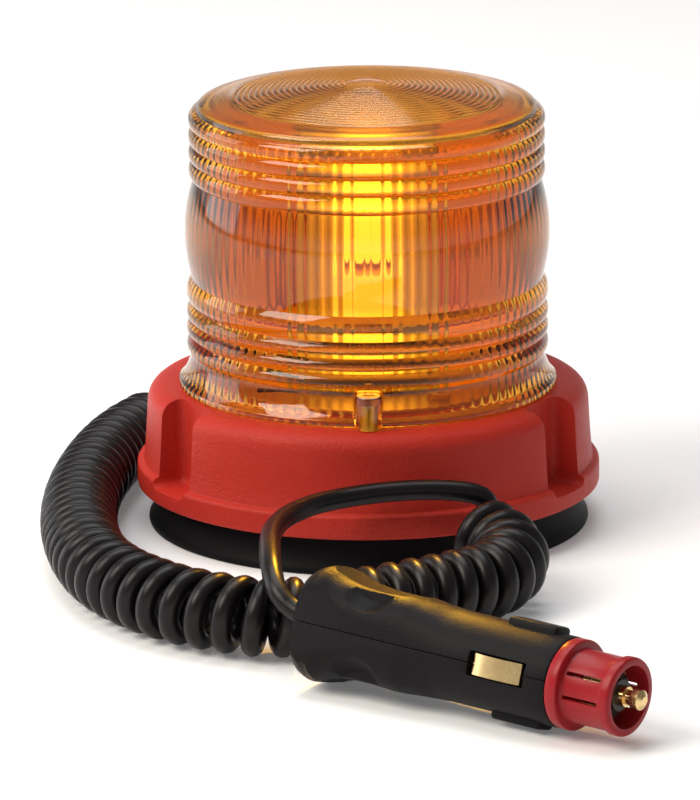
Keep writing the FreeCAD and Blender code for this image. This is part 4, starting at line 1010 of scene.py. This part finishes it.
# ------------------------------------------------------------------ base and foot
@dataclass
class RedBase:
    """Moulded base with three bolt pockets."""

    low: float = 9.6
    top: float = 34.4
    flange: float = 56.0
    wall: float = 2.6
    opening: float = 36.0
    pocket_width: float = 15.0
    pocket_back: float = 46.8
    lug_radius: float = 46.4
    gland_hole: float = 4.6
    gland_angle: float = 105.0
    gland_z: float = 22.0
    pocket_angles: tuple[float, ...] = (-30.0, 90.0, 210.0)
    lug_angles: tuple[float, ...] = (-90.0, 30.0, 150.0)

    def outline(self) -> list[tuple[float, float]]:
        """Closed outline of the base.

        Returns:
            Radius and place of each corner in millimetres.
        """
        points = [(0.0, self.low), (55.3, self.low), (55.85, 9.9), (self.flange, 10.5),
                  (self.flange, 14.4)]
        points += arc((self.flange, 14.4), (55.75, 15.2), (54.9, 15.6), 4)
        points += [(54.45, 15.7), (54.25, 16.1), (53.75, 22.5), (53.35, 29.6)]
        points += arc((53.35, 29.6), (52.1, 33.05), (48.4, self.top), 8)
        points += [(46.4, self.top - 0.03), (0.0, self.top - 0.03)]
        return points

    def pocket(self, piece: bpy.types.Object, grow: float, edge: float) -> None:
        """Cut the three bolt pockets out of a piece.

        Args:
            piece: Object that is cut.
            grow: How much wider and deeper the pockets are than from outside, in millimetres.
            edge: Rounding of the pockets' corners in millimetres.
        """
        for angle in self.pocket_angles:
            cutter = Bench.block("pocket", (24.0, self.pocket_width + 2 * grow, 40.0),
                                 (self.pocket_back - grow + 12.0, 0, 33.4 - grow), angle, edge)
            Bench.join_by(piece, cutter, "DIFFERENCE")

    @staticmethod
    def pin(radius: float, low: float, high: float, out: float = 0.0,
            angle: float = 0.0) -> bpy.types.Object:
        """Upright round cutter or boss.

        Args:
            radius: Its radius in millimetres.
            low: Height of its foot.
            high: Height of its top.
            out: Distance from the axis.
            angle: Direction from the axis in degrees.

        Returns:
            The new object.
        """
        turn = math.radians(angle)
        return Bench.rod(radius, high - low, (out * math.cos(turn), out * math.sin(turn),
                                              (low + high) / 2), 64)

    def cavity(self) -> bpy.types.Object:
        """Hollow of the base, less the pockets' walls and the screw bosses.

        Returns:
            The new object.
        """
        hollow = Bench.spin("hollow", [(0, 8.6), (50.7, 8.6), (50.7, 29.5), (50.0, 30.9),
                                       (48.4, 31.8), (0, 31.8)], 120)
        self.pocket(hollow, self.wall, 0.0)
        for angle in self.lug_angles:
            Bench.join_by(hollow, self.pin(3.4, 12.0, 40.0, self.lug_radius, angle),
                          "DIFFERENCE")
        return hollow

    def build(self) -> None:
        """Build the base as a thin moulded shell."""
        base = Bench.spin("red_base", self.outline(), 180)
        self.pocket(base, 0.0, 2.0)
        Bench.bevel(base, 0.7, 3, 40)
        for cutter in (self.cavity(), self.pin(self.opening, 30.0, 40.0),
                       self.pin(51.2, 5.0, 12.0)):
            Bench.join_by(base, cutter, "DIFFERENCE")
        gland = self.pin(self.gland_hole, -10.0, 10.0)
        gland.matrix_world = (Matrix.Rotation(math.radians(self.gland_angle), 4, "Z")
                              @ Matrix.Translation(Vector((51.3, 0, self.gland_z)) * MM)
                              @ Matrix.Rotation(math.pi / 2, 4, "Y"))
        Bench.settle(gland)
        Bench.join_by(base, gland, "DIFFERENCE")
        Bench.smooth(base, 50)
        Bench.finish(base, Finish.RED_BASE, Body.BEACON, "red_housing", "base_housing")


@dataclass
class RubberBoot:
    """Rubber boot round the magnet."""

    height: float = 9.6
    socket: float = 46.05

    def build(self) -> None:
        """Build the boot."""
        outline = [(self.socket, 0.0), (52.5, 0.0), (53.1, 0.25), (53.3, 0.8), (53.2, 1.5)]
        outline += arc((53.2, 1.5), (51.6, 4.6), (50.6, self.height), 8)
        outline += [(3.2, self.height), (3.2, 8.85), (self.socket, 8.85), (self.socket, 0.0)]
        boot = Bench.spin("rubber_boot", outline, 144)
        Bench.smooth(boot, 40)
        Bench.finish(boot, Finish.BOOT, Body.BEACON, "boot_rubber", "magnet_boot")


# ------------------------------------------------------------------ plug
@dataclass
class Plug:
    """Accessory-socket plug that lies in front of the beacon."""

    mouth: Point = (56.8, -188.8, 11.35)
    turn: Point = (-16.0, 1.8, -37.0)
    rear: float = 85.3
    sleeve: float = 16.1
    barrel: float = 10.35
    dish: float = 40.0
    dish_depth: float = 1.3
    grip: Point = (-67.0, 10.0, 15.6)
    spring: tuple[float, float, float, float] = (-50.5, 9.0, 2.4, 0.4)
    squareness: float = 2.9
    joint: float = 0.1
    grip_cone: Point = (7.6, 12.4, 6.0)
    dish_at: float = -66.0
    screw: Point = (-68.0, 6.0, -12.4)
    screw_spare: float = 2.4
    step: float = 3.75

    def place(self) -> Matrix:
        """Matrix from the plug's own frame to the part's frame, in millimetres."""
        angles = Euler([math.radians(a) for a in self.turn], "XYZ")
        return Matrix.Translation(self.mouth) @ angles.to_matrix().to_4x4()

    def lay(self, piece: bpy.types.Object) -> None:
        """Move a piece from the plug's own frame to where the plug lies.

        Args:
            piece: Piece modelled about the origin with +X towards the socket.
        """
        place = self.place()
        place.translation *= MM
        piece.matrix_world = place
        Bench.settle(piece)

    def shell_outline(self) -> list[tuple[float, float]]:
        """Outline of the black body, as radius and place behind the mouth.

        Returns:
            Radius and place of each corner in millimetres.
        """
        front, rear = self.sleeve, self.rear
        points = [(0.0, -front), (9.9, -front), (10.2, -front - 0.12),
                  (self.barrel, -front - 0.45)]
        points += [(self.barrel, -s) for s in (22.0, 28.0, 34.0, 40.0, 45.0)]
        points += arc((self.barrel, -45.0), (10.6, -51.0), (11.15, -59.0), 6)
        points += [(11.15, -66.0)]
        points += arc((11.15, -66.0), (11.35, -73.0), (12.5, -78.5), 6)
        points += arc((12.5, -78.5), (13.4, -81.2), (13.1, -83.2), 5)
        points += arc((13.1, -83.2), (12.2, -84.7), (10.4, -rear), 5)
        points += [(3.4, -rear), (3.0, -rear + 0.5), (0.0, -rear + 0.5)]
        return points

    def body(self) -> bpy.types.Object:
        """Black body in the plug's own frame.

        Returns:
            The new object.
        """
        body = Bench.spin("plug_body", self.shell_outline(), 96, (1.0, 0.0, 0.0))
        self.square_up(body)
        flat = Bench.block("flat_sides", (200.0, 22.0, 40.0), (-40.0, 0, 0))
        Bench.join_by(body, flat, "INTERSECT")
        for side in (-1, 1):
            Bench.clear()
            bpy.ops.mesh.primitive_uv_sphere_add(
                segments=96, ring_count=64, radius=self.dish * MM,
                location=Vector((self.dish_at, 0,
                                 side * (11.15 - self.dish_depth + self.dish))) * MM)
            dish = bpy.context.object
            Bench.settle(dish)
            Bench.join_by(body, dish, "DIFFERENCE")
            for flank in (-1, 1):
                spare = self.screw_spare if flank > 0 > side else 0.0
                Bench.join_by(body, self.finger_grip(side, flank, spare), "DIFFERENCE")
            rib = Bench.block("rib", (13.6, 6.0, 5.0),
                              (-26.9, 0, side * (self.barrel + 1.3 - 2.5)), edge=1.0)
            Bench.join_by(body, rib, "UNION")
            window = Bench.block("window", (15.4, 8.0, 5.6), (-29.5, side * 11.2, 0), edge=0.5)
            Bench.join_by(body, window, "DIFFERENCE")
        return body

    def square_up(self, body: bpy.types.Object) -> None:
        """Push the handle's round section out towards a rounded square.

        Args:
            body: Turned body in the plug's own frame.
        """
        def fold(co: Vector) -> float:
            """Return a point's angle about the X axis, folded to 0 to 45 degrees."""
            angle = math.degrees(math.atan2(co.z, co.y)) % 90.0
            return min(angle, 90.0 - angle)

        for near, far, power in ((49.0, 55.5, 2.35), (55.5, 80.0, self.squareness),
                                 (80.0, 86.0, 2.4)):
            for step in range(1, 13):
                turn = math.radians(step * self.step)
                share = (math.cos(turn) ** power + math.sin(turn) ** power) ** (-1 / power)
                Bench.pick(body, lambda co, a=near, b=far, k=step: (
                    a * MM < -co.x <= b * MM and abs(fold(co) - k * self.step) < 1.8))
                bpy.ops.transform.resize(value=(1.0, share, share), center_override=(0, 0, 0))
                bpy.ops.object.mode_set(mode="OBJECT")

    def finger_grip(self, side: int, flank: int, spare: float) -> bpy.types.Object:
        """Cone that scoops one finger grip out of a flank.

        Args:
            side: 1 for the upper edge, -1 for the lower.
            flank: 1 or -1 for the two flanks.
            spare: How far outside its usual place it cuts, in millimetres.

        Returns:
            The cutter in the plug's own frame.
        """
        Bench.clear()
        near, far, depth = self.grip_cone
        bpy.ops.mesh.primitive_cone_add(vertices=96, radius1=near * MM, radius2=far * MM,
                                        depth=depth * MM, location=(0, 0, 0))
        cone = bpy.context.object
        along, out, up = self.grip
        centre = Vector((along, flank * (out + spare), side * up)) * MM
        cone.matrix_world = (Matrix.Translation(centre)
                             @ Matrix.Rotation(-flank * math.pi / 2, 4, "X"))
        Bench.settle(cone)
        return cone

    def half(self, body: bpy.types.Object, name: str, side: int) -> bpy.types.Object:
        """Upper or lower half of the body with a softened parting edge.

        Args:
            body: Whole body.
            name: Name of the half.
            side: 1 for the upper half, -1 for the lower.

        Returns:
            The half in the plug's own frame.
        """
        piece = body.copy()
        piece.data = body.data.copy()
        piece.name = name
        bpy.context.scene.collection.objects.link(piece)
        room = Bench.block("room", (120.0, 60.0, 40.0), (-50.0, 0, side * (self.joint + 20.0)))
        Bench.join_by(piece, room, "INTERSECT")
        Bench.bevel(piece, 0.28, 3, 40)
        return piece

    def shells(self) -> None:
        """Build both halves of the body."""
        body = self.body()
        upper = self.half(body, "plug_upper", 1)
        lower = self.half(body, "plug_lower", -1)
        bpy.data.objects.remove(body, do_unlink=True)
        Bench.join_by(lower, Bench.rod(2.7, 10.0, self.screw), "DIFFERENCE")
        for piece, node in ((upper, "plug_shell_upper"), (lower, "plug_shell_lower")):
            self.lay(piece)
            Bench.smooth(piece, 27)
            Bench.finish(piece, Finish.PLUG_BLACK, Body.BEACON, "black_moulding", node)

    def red_sleeve(self) -> None:
        """Build the push-on sleeve."""
        end = self.sleeve
        outline = [(7.2, 0.15), (7.5, 0.0), (8.5, 0.0)]
        outline += arc((8.5, 0.0), (8.85, -0.25), (8.97, -0.8), 3)
        outline += [(8.97, -1.8), (8.95, -2.2), (8.5, -2.6), (8.4, -2.9), (8.4, -end + 3.4),
                    (8.6, -end + 3.05), (9.9, -end + 3.0)]
        outline += arc((9.9, -end + 3.0), (10.2, -end + 2.85), (10.3, -end + 2.5), 3)
        outline += [(10.3, -end + 0.4), (10.1, -end + 0.05), (6.05, -end + 0.05),
                    (6.05, -end + 6.4), (7.2, -end + 6.5), (7.2, 0.15)]
        outline = [(radius, min(0.0, place)) for radius, place in outline]
        sleeve = Bench.spin("red_sleeve", outline, 96, (1.0, 0.0, 0.0))
        for turn in (19.0, -19.0, 161.0, -161.0):
            slot = Bench.block("slot", (9.3, 6.0, 1.0), (-7.8, -9.3, 0), turn, 0.3, "X")
            Bench.join_by(sleeve, slot, "DIFFERENCE")
        Bench.bevel(sleeve, 0.12, 2, 50)
        self.lay(sleeve)
        Bench.smooth(sleeve, 38)
        Bench.finish(sleeve, Finish.RED_SLEEVE, Body.ADAPTER, "adapter_red", "adapter_sleeve")

    def tip_spring(self) -> None:
        """Build the spring behind the fuse."""
        rear, length, mean, wire = self.spring
        Bench.clear()
        bpy.ops.mesh.primitive_circle_add(
            vertices=12, radius=wire * MM, location=(mean * MM, 0, wire * MM),
            rotation=(math.pi / 2, 0, 0))
        spring = bpy.context.object
        spring.name = "tip_spring"
        Bench.settle(spring)
        Bench.modify(spring, "SCREW", axis="Z", angle=2 * math.pi, iterations=5, steps=28,
                     render_steps=28, screw_offset=(length - 2 * wire) / 5 * MM,
                     use_smooth_shade=True, use_normal_calculate=True)
        bpy.ops.object.mode_set(mode="EDIT")
        bpy.ops.mesh.select_all(action="SELECT")
        bpy.ops.mesh.fill_holes(sides=12)
        bpy.ops.mesh.select_all(action="SELECT")
        bpy.ops.mesh.normals_make_consistent(inside=False)
        bpy.ops.object.mode_set(mode="OBJECT")
        spring.matrix_world = (Matrix.Translation((rear * MM, 0, 0))
                               @ Matrix.Rotation(math.pi / 2, 4, "Y"))
        Bench.settle(spring)
        self.lay(spring)
        Bench.smooth(spring, 40)
        Bench.finish(spring, Finish.SCREW, Body.BEACON, "screw_steel", "plug_spring")
        place = self.place()
        place.to_3x3() @ Vector((1, 0, 0))
        (place @ Vector((rear, 0, 0))) * MM
        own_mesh(spring)

    def build(self) -> None:
        """Build every new piece of the plug."""
        self.shells()
        self.red_sleeve()
        self.tip_spring()


# ------------------------------------------------------------------ CAD nodes that stay
@dataclass
class KeptNodes:
    """CAD nodes that stay as they are and get a finish."""

    finishes: dict[Finish, tuple[str, ...]] = field(default_factory=lambda: {
        Finish.ZINC: ("magnet_cup", "magnet_bolt", "magnet_nut", "chassis_plate", "motor_case",
                      "spindle", "spindle_nut", "thrust_washer", "motor_shaft"),
        Finish.FERRITE: ("ring_magnet",),
        Finish.BOOT: ("base_cover", "cable_gland"),
        Finish.SCREW: ("cover_screws", "chassis_screws", "motor_screws", "reflector_screws",
                       "lens_screws", "plug_screw", "retaining_clip"),
        Finish.SEAL: ("lens_gasket",),
        Finish.WHITE: ("turntable_gear", "motor_pinion", "terminal_block", "cord_clamp"),
        Finish.MIRROR: ("reflector",),
        # The lamp holder gets painted glow, an emission that stands in for the bulb's light.
        Finish.LIT_CERAMIC: ("lamp_holder",),
        Finish.PHENOLIC: ("nose_insulator",),
        Finish.BRASS: ("bulb_cap", "nose_contact", "tip_contact", "rear_terminal",
                       "side_contact_front", "side_contact_back"),
        Finish.GLOW: ("bulb_glass",),
        Finish.GLASS: ("plug_fuse",),
        Finish.TUNGSTEN: ("bulb_filament",),
        Finish.BROWN_WIRE: ("live_wire", "motor_leads"),
        Finish.BLACK_WIRE: ("earth_wire",),
    })

    def build(self) -> None:
        """Give every kept node its finish."""
        for finish, names in self.finishes.items():
            for name in names:
                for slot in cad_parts[name].material_slots:
                    slot.material = finish.material()
                LOG.info("%s: %s", name, finish.name.lower())


def main() -> None:
    """Build the studio and every sub-assembly in order."""
    logging.basicConfig(level=logging.INFO)
    Studio().build()
    cord = SpiralCord()
    cord.build()
    KeptNodes().build()
    AmberLens().build()
    RedBase().build()
    RubberBoot().build()
    Plug().build()
    Bench.clear()


if __name__ == "__main__":
    main()
